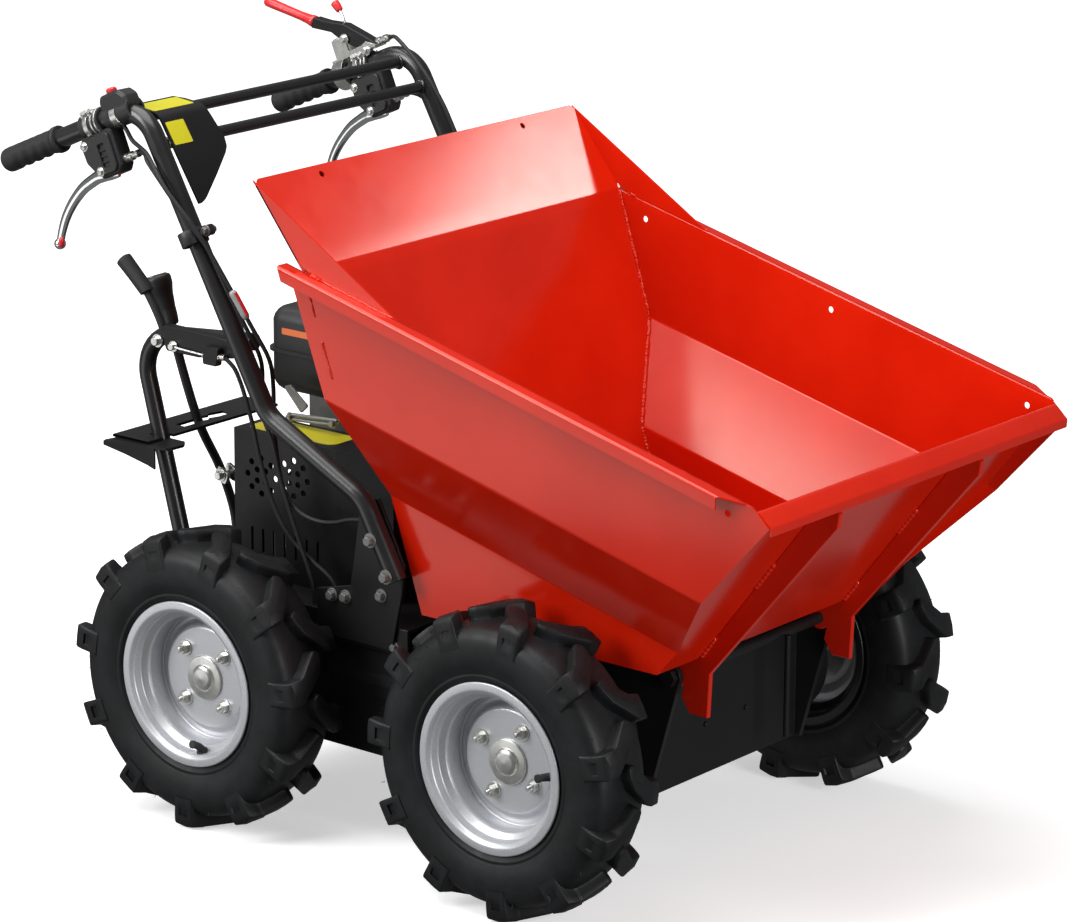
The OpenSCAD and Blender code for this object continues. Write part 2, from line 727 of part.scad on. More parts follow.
module side_wall(side) {
    length = lip_x - rim_rear_x + over;
    rim_end = lip_x - rim_cut;
    color("red") placed() difference() {
        intersection() {
            mirror([0, side < 0 ? 1 : 0, 0]) along_rim(-over, length) polygon(folded(wall_path, sheet_t));
            across(-over, over) hopper_outline();
        }
        translate([rim_end, side > 0 ? wall_half + sheet_t : -over - wall_half - sheet_t, floor_z])
            cube([over, over, over]);
        for (i = [0 : 2]) {
            translate([rim_rear_x, 0, rim_rear_z]) rotate([0, rim_fall, 0])
                translate([hole_start + i * hole_pitch, side * wall_half, -hole_drop])
                    rotate([90, 0, 0]) cylinder(h = rim_w, r = hole_r, center = true);
        }
    }
}

// Space between the two side walls
module inside() {
    half = [for (i = [2 : 5]) wall_path[i]];
    along_rim(-over, 3 * over) polygon(concat(half, turned([for (q = half) [-q.x, q.y]])));
}

module rear_wall() {
    x0 = floor_rear_x + rear_inset;
    x1 = rim_rear_x + rear_inset;
    color("red") placed() intersection() {
        inside();
        across(-over, over) polygon([[x0, floor_z], [x0 + sheet_t, floor_z],
            [x1 + sheet_t, rim_rear_z], [x1, rim_rear_z]]);
    }
}

// Sloping front wall that ends in the bar along the lip
module front_wall() {
    bottom = [floor_front_x, floor_z];
    top = [lip_x, lip_z];
    step = sheet_t / front_along.y;
    color("red") placed() intersection() {
        inside();
        across(-over, over) polygon([
            bottom, top, top + front_up * lip_w, top + front_up * lip_w - front_along * lip_t,
            top + front_up * sheet_t - front_along * lip_t, bottom - [step, 0]
        ]);
    }
}

module hopper_floor() {
    x0 = floor_rear_x + rear_inset + sheet_t;
    slope = front_along.x / front_along.y;
    x1 = floor_front_x - sheet_t / front_along.y;
    color("red") placed() across(-floor_half, floor_half) polygon([[x0, floor_z], [x1, floor_z],
        [x1 + sheet_t * slope, floor_z + sheet_t], [x0 - sheet_t * rear_k, floor_z + sheet_t]]);
}

// Sloping guard above the rear wall with a triangular wing on each side
module splash_guard() {
    foot = guard_fold + guard_foot * [cos(rim_fall), -sin(rim_fall)];
    half = wall_half + sheet_t;
    color("red") placed() difference() {
        union() {
            across(-half, half) polygon([guard_fold, guard_top, guard_top + guard_front * sheet_t, foot]);
            for (side = [-1, 1]) {
                on_side(side, wall_half, half) polygon([guard_fold, guard_top, [wing_x, rim_height(wing_x)]]);
            }
        }
        for (side = [-1, 1]) {
            translate([guard_top.x, side * guard_hole_pitch / 2, guard_top.y])
                rotate([0, atan2(guard_front.x, guard_front.y), 0]) translate([guard_hole_in, 0, 0])
                    cylinder(h = rim_w, r = hole_r, center = true);
        }
    }
}

// Rib under the front wall that runs down into the leg with the pivot eye
module hinge_leg(side) {
    start = [floor_front_x, floor_z];
    top = [lip_x, lip_z] - front_along * rib_stop;
    deep = -front_up * rib_h;
    y0 = side * leg_y - leg_t / 2;
    color("red") placed() difference() {
        union() {
            across(y0, y0 + leg_t)
                polygon([start, top, top + deep, start + deep, [leg_front_x, leg_low_z],
                    [leg_rear_x + leg_cut.x, leg_low_z], [leg_rear_x, leg_low_z + leg_cut.y],
                    [leg_rear_x, pivot_z], [pivot_x - eye_r, pivot_z], [pivot_x - eye_r, floor_z]]);
            across(y0, y0 + leg_t) translate([pivot_x, pivot_z]) circle(eye_r);
        }
        translate([pivot_x, 0, pivot_z]) rotate([90, 0, 0])
            cylinder(h = over, r = pivot_r + pivot_gap, center = true);
    }
}

// Folded chassis box with cheeks that carry the tipping pivot
module chassis_frame() {
    top = deck_z - plate_t;
    length = box_front_x - box_rear_x;
    lead = 8;
    drop = 20;
    color("#202022") placed() difference() {
        union() {
            translate([box_rear_x, -box_half, box_low_z]) cube([length, 2 * box_half, plate_t]);
            translate([box_front_x - plate_t, -box_half, box_low_z])
                cube([plate_t, 2 * box_half, pivot_z - box_low_z]);
            translate([box_rear_x, -box_half, box_low_z]) cube([plate_t, 2 * box_half, top - box_low_z]);
            for (side = [-1, 1]) {
                on_side(side, box_half - cheek_t, box_half) union() {
                    polygon([[box_rear_x, box_low_z], [box_front_x + lead, box_low_z],
                        [pivot_x + cheek_r - 2, pivot_z - 6], [pivot_x, pivot_z + cheek_r],
                        [box_front_x - drop, top], [box_rear_x, top]]);
                    translate([pivot_x, pivot_z]) circle(cheek_r);
                }
            }
        }
        translate([pivot_x, 0, pivot_z]) rotate([90, 0, 0])
            cylinder(h = over * 2, r = pivot_r + pivot_gap, center = true);
    }
}

module pivot_shaft() {
    head = 8;
    head_r = pivot_r + 4;
    color("silver") placed() translate([pivot_x, 0, pivot_z]) rotate([90, 0, 0]) {
        cylinder(h = 2 * (box_half + head), r = pivot_r, center = true);
        for (side = [-1, 1]) {
            translate([0, 0, side * (box_half + head / 2)])
                cylinder(h = head, r = head_r, center = true, $fn = 6);
        }
    }
}

// Deck that carries the engine, with its side edges folded down
module engine_deck() {
    length = deck_front_x - deck_rear_x;
    color("#202022") placed() {
        translate([deck_rear_x, -deck_half, deck_z - plate_t]) cube([length, 2 * deck_half, plate_t]);
        for (side = [-1, 1]) {
            translate([deck_rear_x, side > 0 ? deck_half - plate_t : -deck_half, deck_z - deck_edge])
                cube([length, plate_t, deck_edge]);
        }
    }
}

// Long case for the drive chain of one side, with a bearing boss at each axle
module chain_case(side) {
    color("#202022") placed() difference() {
        union() {
            on_side(side, box_half, case_half) union() {
                for (end = [-1, 1]) translate([end * wheelbase / 2, tyre_r]) circle(case_r);
                translate([-wheelbase / 2, tyre_r - case_r]) square([wheelbase, 2 * case_r]);
            }
            for (end = [-1, 1]) {
                translate([end * wheelbase / 2, 0, tyre_r]) on_side(side, case_half - slack, boss_half)
                    circle(boss_r);
            }
        }
        for (end = [-1, 1]) {
            translate([end * wheelbase / 2, side * track_half, tyre_r]) rotate([90 * side, 0, 0])
                cylinder(h = slack - stub_end, r = axle_r + pivot_gap);
        }
    }
}

// Closed gear casing under the engine deck
module gearbox() {
    low = box_low_z + plate_t;
    color("#8a8c8e") placed() translate([gearbox_rear_x, -gearbox_w / 2, low])
        cube([gearbox_l, gearbox_w, deck_z - plate_t - low]);
}

// Cross channel that the hopper's floor comes down on
module hopper_rest() {
    reach = box_half - cheek_t;
    low = deck_z - plate_t - rest_deep;
    top = floor_z - seat;
    path = [[rest_x, low], [rest_x, top], [rest_x + rest_w, top], [rest_x + rest_w, low]];
    color("#202022") placed() across(-reach, reach) polygon(folded(path, -plate_t));
}

// Plate that stands on the deck's edge and carries a handle tube
module handle_bracket(side) {
    low = deck_z - deck_edge + plate_t;
    rear = tube_end.x - bracket_l;
    color("#202022") placed() on_side(side, deck_half, deck_half + bracket_t)
        polygon([[rear, low], [rear, deck_z + bracket_low],
            [rear + bracket_slope.x, deck_z + bracket_slope.y],
            bend_low + bracket_shoulder[0], bend_low + bracket_shoulder[1],
            tube_end + bracket_nose[0], tube_end + bracket_nose[1], [tube_end.x - bracket_toe, low]]);
}

module handle_tube(side) {
    color("#202022") placed() bent_tube(handle_path, handle_bends, tube_r, side * handle_half);
}

module cross_bars() {
    reach = handle_half - tube_r;
    color("#202022") placed() {
        for (p = [bar_top, bar_low]) rod([p.x, -reach, p.y], [p.x, reach, p.y], bar_r);
    }
}

// Rubber grip with finger grooves, closed at its rear end
module grip(side) {
    plain = 22;
    pitch = (grip_len - plain - 8) / groove_count;
    bite = 2.5;
    groove_r = pitch / 2 + 1;
    color("#1b1b1c") placed() translate([grip_x, side * handle_half, grip_z]) rotate([0, 90 - grip_lean, 0])
        difference() {
            rotate_extrude() difference() {
                square([grip_r, grip_len]);
                for (i = [0 : groove_count - 1]) {
                    translate([grip_r + groove_r - bite, plain + (i + 0.5) * pitch]) circle(groove_r);
                }
            }
            translate([0, 0, grip_end]) cylinder(h = grip_len, r = tube_r + seat);
        }
}

// A frame that lies along the straight top run of a handle
module on_tube(x, side) {
    placed() translate([x, side * handle_half, on_handle(x).y]) rotate([0, -grip_lean, 0]) children();
}

// Ring that clamps a control on a handle tube, as its start and length, and its bore
module clamp_ring(span, r = clamp_r) {
    translate([span[0], 0, 0]) rotate([0, 90, 0]) cylinder(h = span[1], r = r);
}
module clamp_bore() {
    rotate([0, 90, 0]) cylinder(h = over, r = tube_r + seat, center = true);
}

// Folded plate that lies on the cross bars at the right bend of the handles
function below(lean) = [sin(lean), cos(lean)];
function along(lean) = [cos(lean), -sin(lean)];
module control_panel() {
    lift = bar_r + seat + panel_t;
    a = bar_top + below(panel_lean[0]) * lift;
    b = bar_low + below(panel_lean[1]) * lift;
    da = along(panel_lean[0]);
    db = along(panel_lean[1]);
    k = cross(b - a, db) / cross(da, db);
    fold = a + da * k;
    path = bent([fold - da * panel_back, fold, fold + db * panel_front], [panel_bend]);
    y0 = -handle_half + clamp_r + 0.5;
    color("#202022") placed() intersection() {
        across(y0, y0 + panel_w) polygon(folded(path, -panel_t));
        translate([-over * 2, 0, 0]) rotate([90, 0, 90]) linear_extrude(over * 2)
            polygon([[y0, bend_mid.y], [y0 + panel_foot, panel_foot_z], [y0 + panel_w, panel_side_z],
                [y0 + panel_w, bar_top.y + over], [y0, bar_top.y + over]]);
    }
}

// Stop switch on the right handle
module engine_switch() {
    color("#1b1b1c") on_tube(housing_x, RIGHT) difference() {
        union() {
            clamp_ring(switch_clamp);
            across(-switch_w / 2, switch_w / 2) polygon(switch_outline);
        }
        clamp_bore();
    }
}

// Clamp under the handle that carries a steering clutch lever
module steering_housing(side) {
    color("#1b1b1c") on_tube(housing_x, side) difference() {
        union() {
            clamp_ring(housing_clamp);
            across(-housing_w / 2, housing_w / 2) polygon(housing_outline);
        }
        clamp_bore();
    }
}

// Curved lever that leaves the housing's cut corner and hangs below the handle
module steering_lever(side) {
    color("silver") on_tube(housing_x, side) {
        across(-lever_w / 2, lever_w / 2) polygon(lever_outline);
        across(-lever_w / 2, lever_w / 2) translate(lever_knob) circle(lever_knob_r);
    }
}

// Perch of the clutch lever on top of the left handle
module clutch_bracket() {
    half = arm_w / 2 + seat;
    base = clamp_r + seat;
    color("silver") on_tube(housing_x, LEFT) difference() {
        union() {
            clamp_ring(perch_clamp, clamp_r + perch_t);
            translate([perch_x, -half - perch_t, base]) cube([perch_l, 2 * (half + perch_t), perch_t]);
            for (side = [-1, 1]) {
                on_side(side, half, half + perch_t) translate([0, base]) polygon(perch_outline);
            }
        }
        clamp_bore();
        translate([-over, -half, base + perch_t]) cube([2 * over, 2 * half, over]);
    }
}

// Pressed arm of the clutch lever, between the ears of its perch
module clutch_arm() {
    color("#202022") placed() translate([0, handle_half, 0])
        across(-arm_w / 2, arm_w / 2) polygon(arm_outline);
}

module clutch_lever() {
    color("red") placed() rod([sleeve_start.x, handle_half, sleeve_start.y],
        [lever_tip_x, handle_half, lever_tip_z], sleeve_r);
}

// Small lever that holds the clutch lever down
module lock_lever() {
    color("red") placed() translate([0, handle_half, 0]) swept(lock_path, lock_widths, 12);
}

// Tube that guards the gear lever, from the deck up and forward to the right handle
module guard_tube() {
    color("#202022") placed() bent_tube(guard_path, guard_bends, guard_r, guard_y);
}

// Plate along the guard tube that carries the latch lever and its cable's stop
module lever_plate() {
    y1 = guard_y - guard_r - seat;
    z0 = latch_pivot.y - latch_h / 2;
    color("#202022") placed() {
        translate([latch_x[0], y1 - latch_t, z0]) cube([latch_x[1] - latch_x[0], latch_t, latch_h]);
        translate([latch_stop[0], y1 - latch_t - latch_stop[1], z0 - 4])
            cube([latch_stop[2], latch_stop[1] + slack, latch_stop[2]]);
    }
}

// Lever that frees the hopper's latch
module tip_lever() {
    y = guard_y - guard_r - latch_t - 2 * seat - latch_widths[0];
    color("#1b1b1c") placed() swept(at_y(latch_path, y), latch_widths);
}

// Gate for the gear lever, welded to the guard tube, with a slot that jogs from side to side
module gate_plate() {
    half = gate_slot / 2;
    function slot_point(out, steps, ease) = [slot_x + out, slot_y + steps * gate_step + ease];
    zigzag = [slot_point(-half, 0, 0), slot_point(half, 0, 0), slot_point(half, 1, 0),
        slot_point(half - slot_jog, 1, slot_ease), slot_point(half, 2, 0),
        slot_point(half - slot_jog, 2, slot_ease), slot_point(half, 3, 0), slot_point(half, 4, 0),
        slot_point(-half, 4, 0), slot_point(-half - slot_jog, 3, 0), slot_point(-half, 3, -slot_ease),
        slot_point(-half - slot_jog, 2, 0), slot_point(-half, 2, -slot_ease)];
    notch = guard_r + seat;
    color("#202022") placed() {
        difference() {
            translate([gate_x, -gate_l, gate_z]) cube([gate_w, gate_l, gate_t]);
            translate([gate_x + gate_w - gate_notch, guard_y - notch, gate_z - slack])
                cube([gate_w, 2 * notch, gate_t + 2 * slack]);
            translate([0, 0, gate_z - slack]) linear_extrude(gate_t + 2 * slack) polygon(zigzag);
        }
        across(-gate_l, -gate_l + gate_t) polygon([[gate_x, gate_z + gate_t],
            [gate_x + gate_w, gate_z + gate_t], [gate_x + gate_w, gate_z - gate_gusset],
            [gate_x, gate_z - gate_corner]]);
    }
}

module gear_lever() {
    color("#1b1b1c") placed() swept(gear_path, gear_widths);
}

// Cables from the controls, each along its own route
module control_cables() {
    color("#1b1b1c") placed() {
        swept(flow(concat([[cable_start.x, -handle_half, cable_start.y]], route_right)), cable_r, 8);
        swept(flow(route_switch), cable_r, 8);
        swept(flow(route_latch), cable_r, 8);
        swept(flow(concat([[cable_start.x, handle_half, cable_start.y]], route_left)), cable_r, 8);
        swept(flow(route_clutch), cable_r, 8);
    }
}

// Crankcase on its foot, finned cylinder and head to the front, and the tank's pedestal
module engine_block() {
    low = deck_z + foot_t;
    front = engine_x + case_half_l;
    mid_y = engine_y + engine_w / 2;
    top = low + crankcase_h - foot_t;
    fins_end = front + fin_count * fin_pitch;
    color("#3a3b3d") placed() {
        translate([engine_x - engine_l / 2, engine_y, deck_z]) cube([engine_l, engine_w, foot_t]);
        across(engine_y, engine_y + engine_w) polygon([[engine_x - case_half_l, deck_z], [front, deck_z],
            [front, top - case_cut], [front - case_cut, top], [engine_x - case_half_l + case_cut, top],
            [engine_x - case_half_l, top - case_cut]]);
        translate([front - slack, mid_y - core_w / 2, cylinder_z - core_h / 2])
            cube([fins_end - front + 2 * slack, core_w, core_h]);
        for (i = [0 : fin_count - 1]) {
            translate([front + (i + 0.5) * fin_pitch, mid_y - fin_w / 2, cylinder_z - fin_h / 2])
                cube([fin_t, fin_w, fin_h]);
        }
        translate([fins_end, mid_y - core_w / 2, cylinder_z - head_h / 2]) cube([head_l, core_w, head_h]);
        translate([engine_x - pedestal.x / 2, engine_y + pedestal_in, top - slack])
            cube([pedestal.x, pedestal.y, tank_z - top + slack]);
        translate([engine_x, engine_y + slack, shaft_z]) rotate([90, 0, 0])
            cylinder(h = shaft_l, r = shaft_r);
    }
}

// Fan cover and recoil starter on the engine's left
module recoil_starter() {
    inner = recoil_r - 3.5 * hood_lip;
    hood = [[0, 0], [recoil_r, 0], [recoil_r, hood_steps[0]], [recoil_r - hood_lip, hood_steps[1]],
        [recoil_r - 3 * hood_lip, hood_steps[2]], [inner, recoil_h], [0, recoil_h]];
    color("#1b1b1c") placed() translate([engine_x - recoil_back, engine_y + engine_w, shaft_z])
        rotate([-90, 0, 0]) difference() {
            rotate_extrude() polygon(hood);
            for (i = [0 : hood_vents - 1]) {
                rotate([0, 0, i * 360 / hood_vents])
                    translate([inner - 2 * hood_lip, -hood_vent.y / 2, recoil_h - hood_vent.z])
                        cube([hood_vent.x, hood_vent.y, hood_vent.z + slack]);
            }
        }
}

// Fuel tank with the seam around its middle, and its cap
module fuel_tank() {
    inner = tank_round;
    color("#1b1b1c") placed() translate([tank_rear_x, tank_right_y, tank_z]) {
        hull() {
            for (x = [inner, tank_l - inner], y = [inner, tank_w - inner], z = [inner, tank_h - inner]) {
                translate([x, y, z]) sphere(tank_round, $fn = 20);
            }
        }
        hull() {
            for (x = [inner, tank_l - inner], y = [inner, tank_w - inner]) {
                translate([x, y, tank_h / 2 - seam_t / 2])
                    cylinder(h = seam_t, r = tank_round + seam_w, $fn = 20);
            }
        }
        translate([tank_l / 2, tank_w / 2, tank_h - slack])
            cylinder(h = cap_h + slack, r = fuel_cap_r, $fn = 24);
    }
}

// Air cleaner beside the tank, on the duct that joins it to the engine
module air_cleaner() {
    y0 = engine_y + pedestal_in + pedestal.y;
    y1 = tank_right_y + tank_w + cleaner_gap;
    x0 = engine_x - cleaner_l;
    color("#1b1b1c") placed() {
        across(y1, y1 + cleaner_w) polygon([[x0, cleaner_z], [x0 + cleaner_l, cleaner_z],
            [x0 + cleaner_l, cleaner_z + cleaner_h - cleaner_cut],
            [x0 + cleaner_l - cleaner_cut, cleaner_z + cleaner_h],
            [x0 + cleaner_cut, cleaner_z + cleaner_h], [x0, cleaner_z + cleaner_h - cleaner_cut]]);
        translate([x0 + duct_l, y0, cleaner_z]) cube([duct_l, y1 - y0 + slack, duct_h]);
    }
}

// Muffler above the cylinder, on its exhaust pipe
module muffler() {
    front = engine_x + case_half_l;
    fins_end = front + fin_count * fin_pitch;
    head_top = cylinder_z + head_h / 2;
    mid_y = engine_y + engine_w / 2;
    x0 = fins_end + head_l / 2 - muffler_l / 2;
    z0 = head_top + pipe_h;
    color("silver") placed() {
        across(mid_y - muffler_w / 2, mid_y + muffler_w / 2) polygon([[x0 + muffler_cut, z0],
            [x0 + muffler_l - muffler_cut, z0], [x0 + muffler_l, z0 + muffler_cut],
            [x0 + muffler_l, z0 + muffler_h - muffler_cut], [x0 + muffler_l - muffler_cut, z0 + muffler_h],
            [x0 + muffler_cut, z0 + muffler_h], [x0, z0 + muffler_h - muffler_cut], [x0, z0 + muffler_cut]]);
        translate([fins_end + head_l / 2, mid_y, head_top]) cylinder(h = pipe_h + slack, r = head_l / 2);
        translate([x0 + muffler_l / 2, mid_y + muffler_w / 2 - slack, z0 + muffler_h / 2]) rotate([-90, 0, 0])
            cylinder(h = pipe_h * 2, r = pipe_r);
    }
}

// Folded sheet cover over the belt on the engine's right, with vents and slots
module belt_cover() {
    x0 = cover_rear_x;
    x1 = cover_rear_x + cover_fold;
    x2 = cover_rear_x + cover_l;
    y1 = cover_y + cover_deep;
    top = deck_z + cover_h;
    side = [[x0, y1], [x0, cover_y], [x1, cover_y], [x2, cover_y + cover_turn], [x2, y1]];
    color("#202022") placed() difference() {
        union() {
            translate([0, 0, deck_z]) linear_extrude(cover_h) polygon(folded(side, cover_t));
            translate([0, 0, top - cover_t]) linear_extrude(cover_t) polygon(side);
        }
        for (ring = vent_rings) {
            translate([x0 + ring.x, cover_y, deck_z + ring.y]) rotate([90, 0, 0]) {
                for (i = [0 : vent_count - 1]) {
                    rotate([0, 0, i * 360 / vent_count]) translate([vent_ring_r, 0, 0])
                        cylinder(h = 4 * cover_t, r = vent_r, center = true);
                }
                for (i = [0 : 3]) {
                    rotate([0, 0, 45 + i * 90]) translate([vent_inner_r, 0, 0])
                        cylinder(h = 4 * cover_t, r = vent_r, center = true);
                }
            }
        }
        for (i = [0 : slot_count - 1]) {
            translate([x0 + slot_pitch * (i + 1.5), cover_y - slack, deck_z + slot_h])
                cube([slot_w, cover_t + 2 * slack, slot_h]);
        }
    }
}

module chain_case_right() { chain_case(RIGHT); }
module chain_case_left() { chain_case(LEFT); }
module handle_bracket_right() { handle_bracket(RIGHT); }
module handle_bracket_left() { handle_bracket(LEFT); }
module handle_tube_right() { handle_tube(RIGHT); }
module handle_tube_left() { handle_tube(LEFT); }
module grip_right() { grip(RIGHT); }
module grip_left() { grip(LEFT); }
module steering_housing_right() { steering_housing(RIGHT); }
module steering_housing_left() { steering_housing(LEFT); }
module steering_lever_right() { steering_lever(RIGHT); }
module steering_lever_left() { steering_lever(LEFT); }
module side_wall_right() { side_wall(RIGHT); }
module side_wall_left() { side_wall(LEFT); }
module hinge_leg_right() { hinge_leg(RIGHT); }
module hinge_leg_left() { hinge_leg(LEFT); }
module tyre_front_right() { at_wheel(FRONT, RIGHT) tyre(FRONT); }
module tyre_front_left() { at_wheel(FRONT, LEFT) tyre(FRONT); }
module tyre_rear_right() { at_wheel(REAR, RIGHT) tyre(REAR); }
module tyre_rear_left() { at_wheel(REAR, LEFT) tyre(REAR); }
module rim_front_right() { at_wheel(FRONT, RIGHT) rim(FRONT); }
module rim_front_left() { at_wheel(FRONT, LEFT) rim(FRONT); }
module rim_rear_right() { at_wheel(REAR, RIGHT) rim(REAR); }
module rim_rear_left() { at_wheel(REAR, LEFT) rim(REAR); }
module hub_front_right() { at_wheel(FRONT, RIGHT) hub(FRONT); }
module hub_front_left() { at_wheel(FRONT, LEFT) hub(FRONT); }
module hub_rear_right() { at_wheel(REAR, RIGHT) hub(REAR); }
module hub_rear_left() { at_wheel(REAR, LEFT) hub(REAR); }

chassis_frame();
engine_deck();
chain_case_right();
chain_case_left();
gearbox();
hopper_rest();
pivot_shaft();
handle_bracket_right();
handle_bracket_left();
handle_tube_right();
handle_tube_left();
cross_bars();
grip_right();
grip_left();
control_panel();
engine_switch();
steering_housing_right();
steering_housing_left();
steering_lever_right();
steering_lever_left();
clutch_bracket();
clutch_arm();
clutch_lever();
lock_lever();
guard_tube();
lever_plate();
tip_lever();
gate_plate();
gear_lever();
control_cables();
engine_block();
recoil_starter();
fuel_tank();
air_cleaner();
muffler();
belt_cover();
side_wall_right();
side_wall_left();
rear_wall();
front_wall();
hopper_floor();
splash_guard();
hinge_leg_right();
hinge_leg_left();
tyre_front_right();
rim_front_right();
hub_front_right();
tyre_front_left();
rim_front_left();
hub_front_left();
tyre_rear_right();
rim_rear_right();
hub_rear_right();
tyre_rear_left();
rim_rear_left();
hub_rear_left();
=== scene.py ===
import bpy
import bmesh
import json
import math
import numpy as np
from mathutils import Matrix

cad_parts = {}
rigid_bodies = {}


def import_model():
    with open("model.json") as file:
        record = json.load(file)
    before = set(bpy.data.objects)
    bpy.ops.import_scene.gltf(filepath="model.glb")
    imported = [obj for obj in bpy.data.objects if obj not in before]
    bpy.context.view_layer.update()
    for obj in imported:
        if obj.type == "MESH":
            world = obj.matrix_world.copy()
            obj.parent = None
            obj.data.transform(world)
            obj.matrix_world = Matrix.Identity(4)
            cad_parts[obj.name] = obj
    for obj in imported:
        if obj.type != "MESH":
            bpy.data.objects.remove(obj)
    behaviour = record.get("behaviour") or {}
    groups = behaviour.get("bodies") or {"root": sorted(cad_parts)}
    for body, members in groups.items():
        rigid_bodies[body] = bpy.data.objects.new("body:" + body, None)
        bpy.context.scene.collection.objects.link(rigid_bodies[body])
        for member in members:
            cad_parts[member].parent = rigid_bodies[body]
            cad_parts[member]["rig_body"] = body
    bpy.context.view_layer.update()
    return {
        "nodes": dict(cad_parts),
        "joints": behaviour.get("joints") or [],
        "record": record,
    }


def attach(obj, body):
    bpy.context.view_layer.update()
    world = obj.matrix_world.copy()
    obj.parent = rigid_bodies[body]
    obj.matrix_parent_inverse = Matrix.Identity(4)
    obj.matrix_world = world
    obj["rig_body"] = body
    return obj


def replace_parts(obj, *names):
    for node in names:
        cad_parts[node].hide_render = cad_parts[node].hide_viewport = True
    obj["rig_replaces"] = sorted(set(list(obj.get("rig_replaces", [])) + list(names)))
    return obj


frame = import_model()
nodes = frame["nodes"]
axles = [j["pos_m"] for j in frame["joints"] if j["name"].startswith("wheel_spin")]
middleX = sum(p[0] for p in axles) / len(axles)  # middle of the wheelbase in the frame
bothSides = ((-1, "right"), (1, "left"))
print("frame loaded", len(nodes), "nodes")


# Sizes below are millimetres from the middle of the wheelbase and the ground, and placed() makes them
# metres in the frame
def placed(points):
    return np.asarray(points, float) * 0.001 + np.array([middleX, 0.0, 0.0])


def floats(v):
    return np.asarray(v, float)


def unit(v):
    return v / np.linalg.norm(v, axis=-1, keepdims=True)


def fullTurn(steps):
    return np.linspace(0, 2 * np.pi, steps, endpoint=False)


# Side-view points (x, z) put at y, which may change from point to point
def atY(points, y):
    points = floats(points)
    return np.stack([points[..., 0], np.broadcast_to(y, points.shape[:-1]), points[..., 1]], -1)


# Quads of a grid of points: each cell joins a point to its neighbours along both parameters
def gridQuads(rows, cols, closeRows=False, closeCols=False):
    index = np.arange(rows * cols).reshape(rows, cols)
    if closeRows:
        index = np.vstack([index, index[:1]])
    if closeCols:
        index = np.hstack([index, index[:, :1]])
    return np.stack([index[:-1, :-1], index[1:, :-1], index[1:, 1:], index[:-1, 1:]], -1).reshape(-1, 4)


def grid(points, closeRows=False, closeCols=False, caps=False):
    rows, cols = points.shape[:2]
    faces = [gridQuads(rows, cols, closeRows, closeCols)]
    if caps:  # the first and last rows close as flat faces
        faces += [np.arange(cols)[None, :], np.arange((rows - 1) * cols, rows * cols)[None, ::-1]]
    return placed(points).reshape(-1, 3), faces


# Path with an arc of the given radius at each inner corner, left sharp where it hardly bends
def rounded(corners, radii, steps=8):
    corners = floats(corners)
    path = [corners[:1]]
    for i in range(1, len(corners) - 1):
        r = radii[i - 1] if isinstance(radii, (list, tuple)) else radii
        back, on = corners[i - 1] - corners[i], corners[i + 1] - corners[i]
        before, after = unit(back), unit(on)
        half = math.acos(max(-1.0, min(1.0, float(before @ after)))) / 2
        if r <= 0 or half > 1.56:
            path.append(corners[i:i + 1])
            continue
        reach = min(r / math.tan(half), 0.49 * np.linalg.norm(back), 0.49 * np.linalg.norm(on))
        middle = corners[i] + unit(before + after) * reach / math.cos(half)
        share = np.linspace(0, 1, steps)[:, None]
        spread = unit(share * (after - before) * reach + corners[i] + before * reach - middle)
        path.append(middle + spread * reach * math.tan(half))
    return np.vstack(path + [corners[-1:]])


def roundedLoop(corners, radius, steps=5):
    corners = floats(corners)
    start = (corners[:1] + corners[-1:]) / 2
    return rounded(np.vstack([start, corners, start]), radius, steps)[:-1]


# Smooth curve through route points: cubic pieces, with a slope of half the step between a point's neighbours
def flowing(route, steps=6):
    p = floats(route)
    a, d = np.vstack([p[:1], p[:-2]]), np.vstack([p[2:], p[-1:]])
    a, b, c, d = (q[:, None, :] for q in (a, p[:-1], p[1:], d))
    t = np.linspace(0, 1, steps, endpoint=False)[None, :, None]
    squared, cubed = (2 * a - 5 * b + 4 * c - d) * t ** 2, (3 * b - a - 3 * c + d) * t ** 3
    curve = (2 * b + (c - a) * t + squared + cubed) / 2
    return np.vstack([curve.reshape(-1, p.shape[1]), p[-1:]])


# Radius at each point of a path, straight between the values at some shares of it
def swelling(path, shares, radii):
    return np.interp(np.linspace(0, 1, len(path)), shares, radii)


# Round profile along a path: point = path + radius (cos a across + sin a up), square to the path
def tube(path, radius, sides=24, side=(0, 1, 0), flat=1.0):
    path, side = floats(path), floats(side)
    ahead = unit(np.gradient(path, axis=0))
    across = unit(side - ahead * (ahead @ side)[:, None])
    up = np.cross(ahead, across)
    angle = fullTurn(sides)[None, :, None]
    r = np.broadcast_to(floats(radius), (len(path),))[:, None, None]
    ring = np.cos(angle) * across[:, None, :] * flat + np.sin(angle) * up[:, None, :]
    return grid(path[:, None, :] + r * ring, closeCols=True, caps=True)


# Directions square to an axis, one for each step of a turn about it
def spokes(axis, steps):
    across = unit(np.cross(axis, [0.31, 0.2, 0.9]))
    angle = fullTurn(steps)[:, None]
    return np.cos(angle) * across + np.sin(angle) * np.cross(axis, across)


# Profile of (radius, distance along the axis) turned about an axis
def turnedAbout(profile, centre, axis=(0, 1, 0), steps=72, closed=False):
    profile, axis = floats(profile), unit(floats(axis))
    points = floats(centre) + profile[:, None, 1:2] * axis + profile[:, None, :1] * spokes(axis, steps)
    return grid(points, closeRows=closed, closeCols=True)


def roundBar(centre, axis, r, long):
    return turnedAbout([(0.1, 0), (r, 0), (r, long), (0.1, long)], centre, axis, 24)


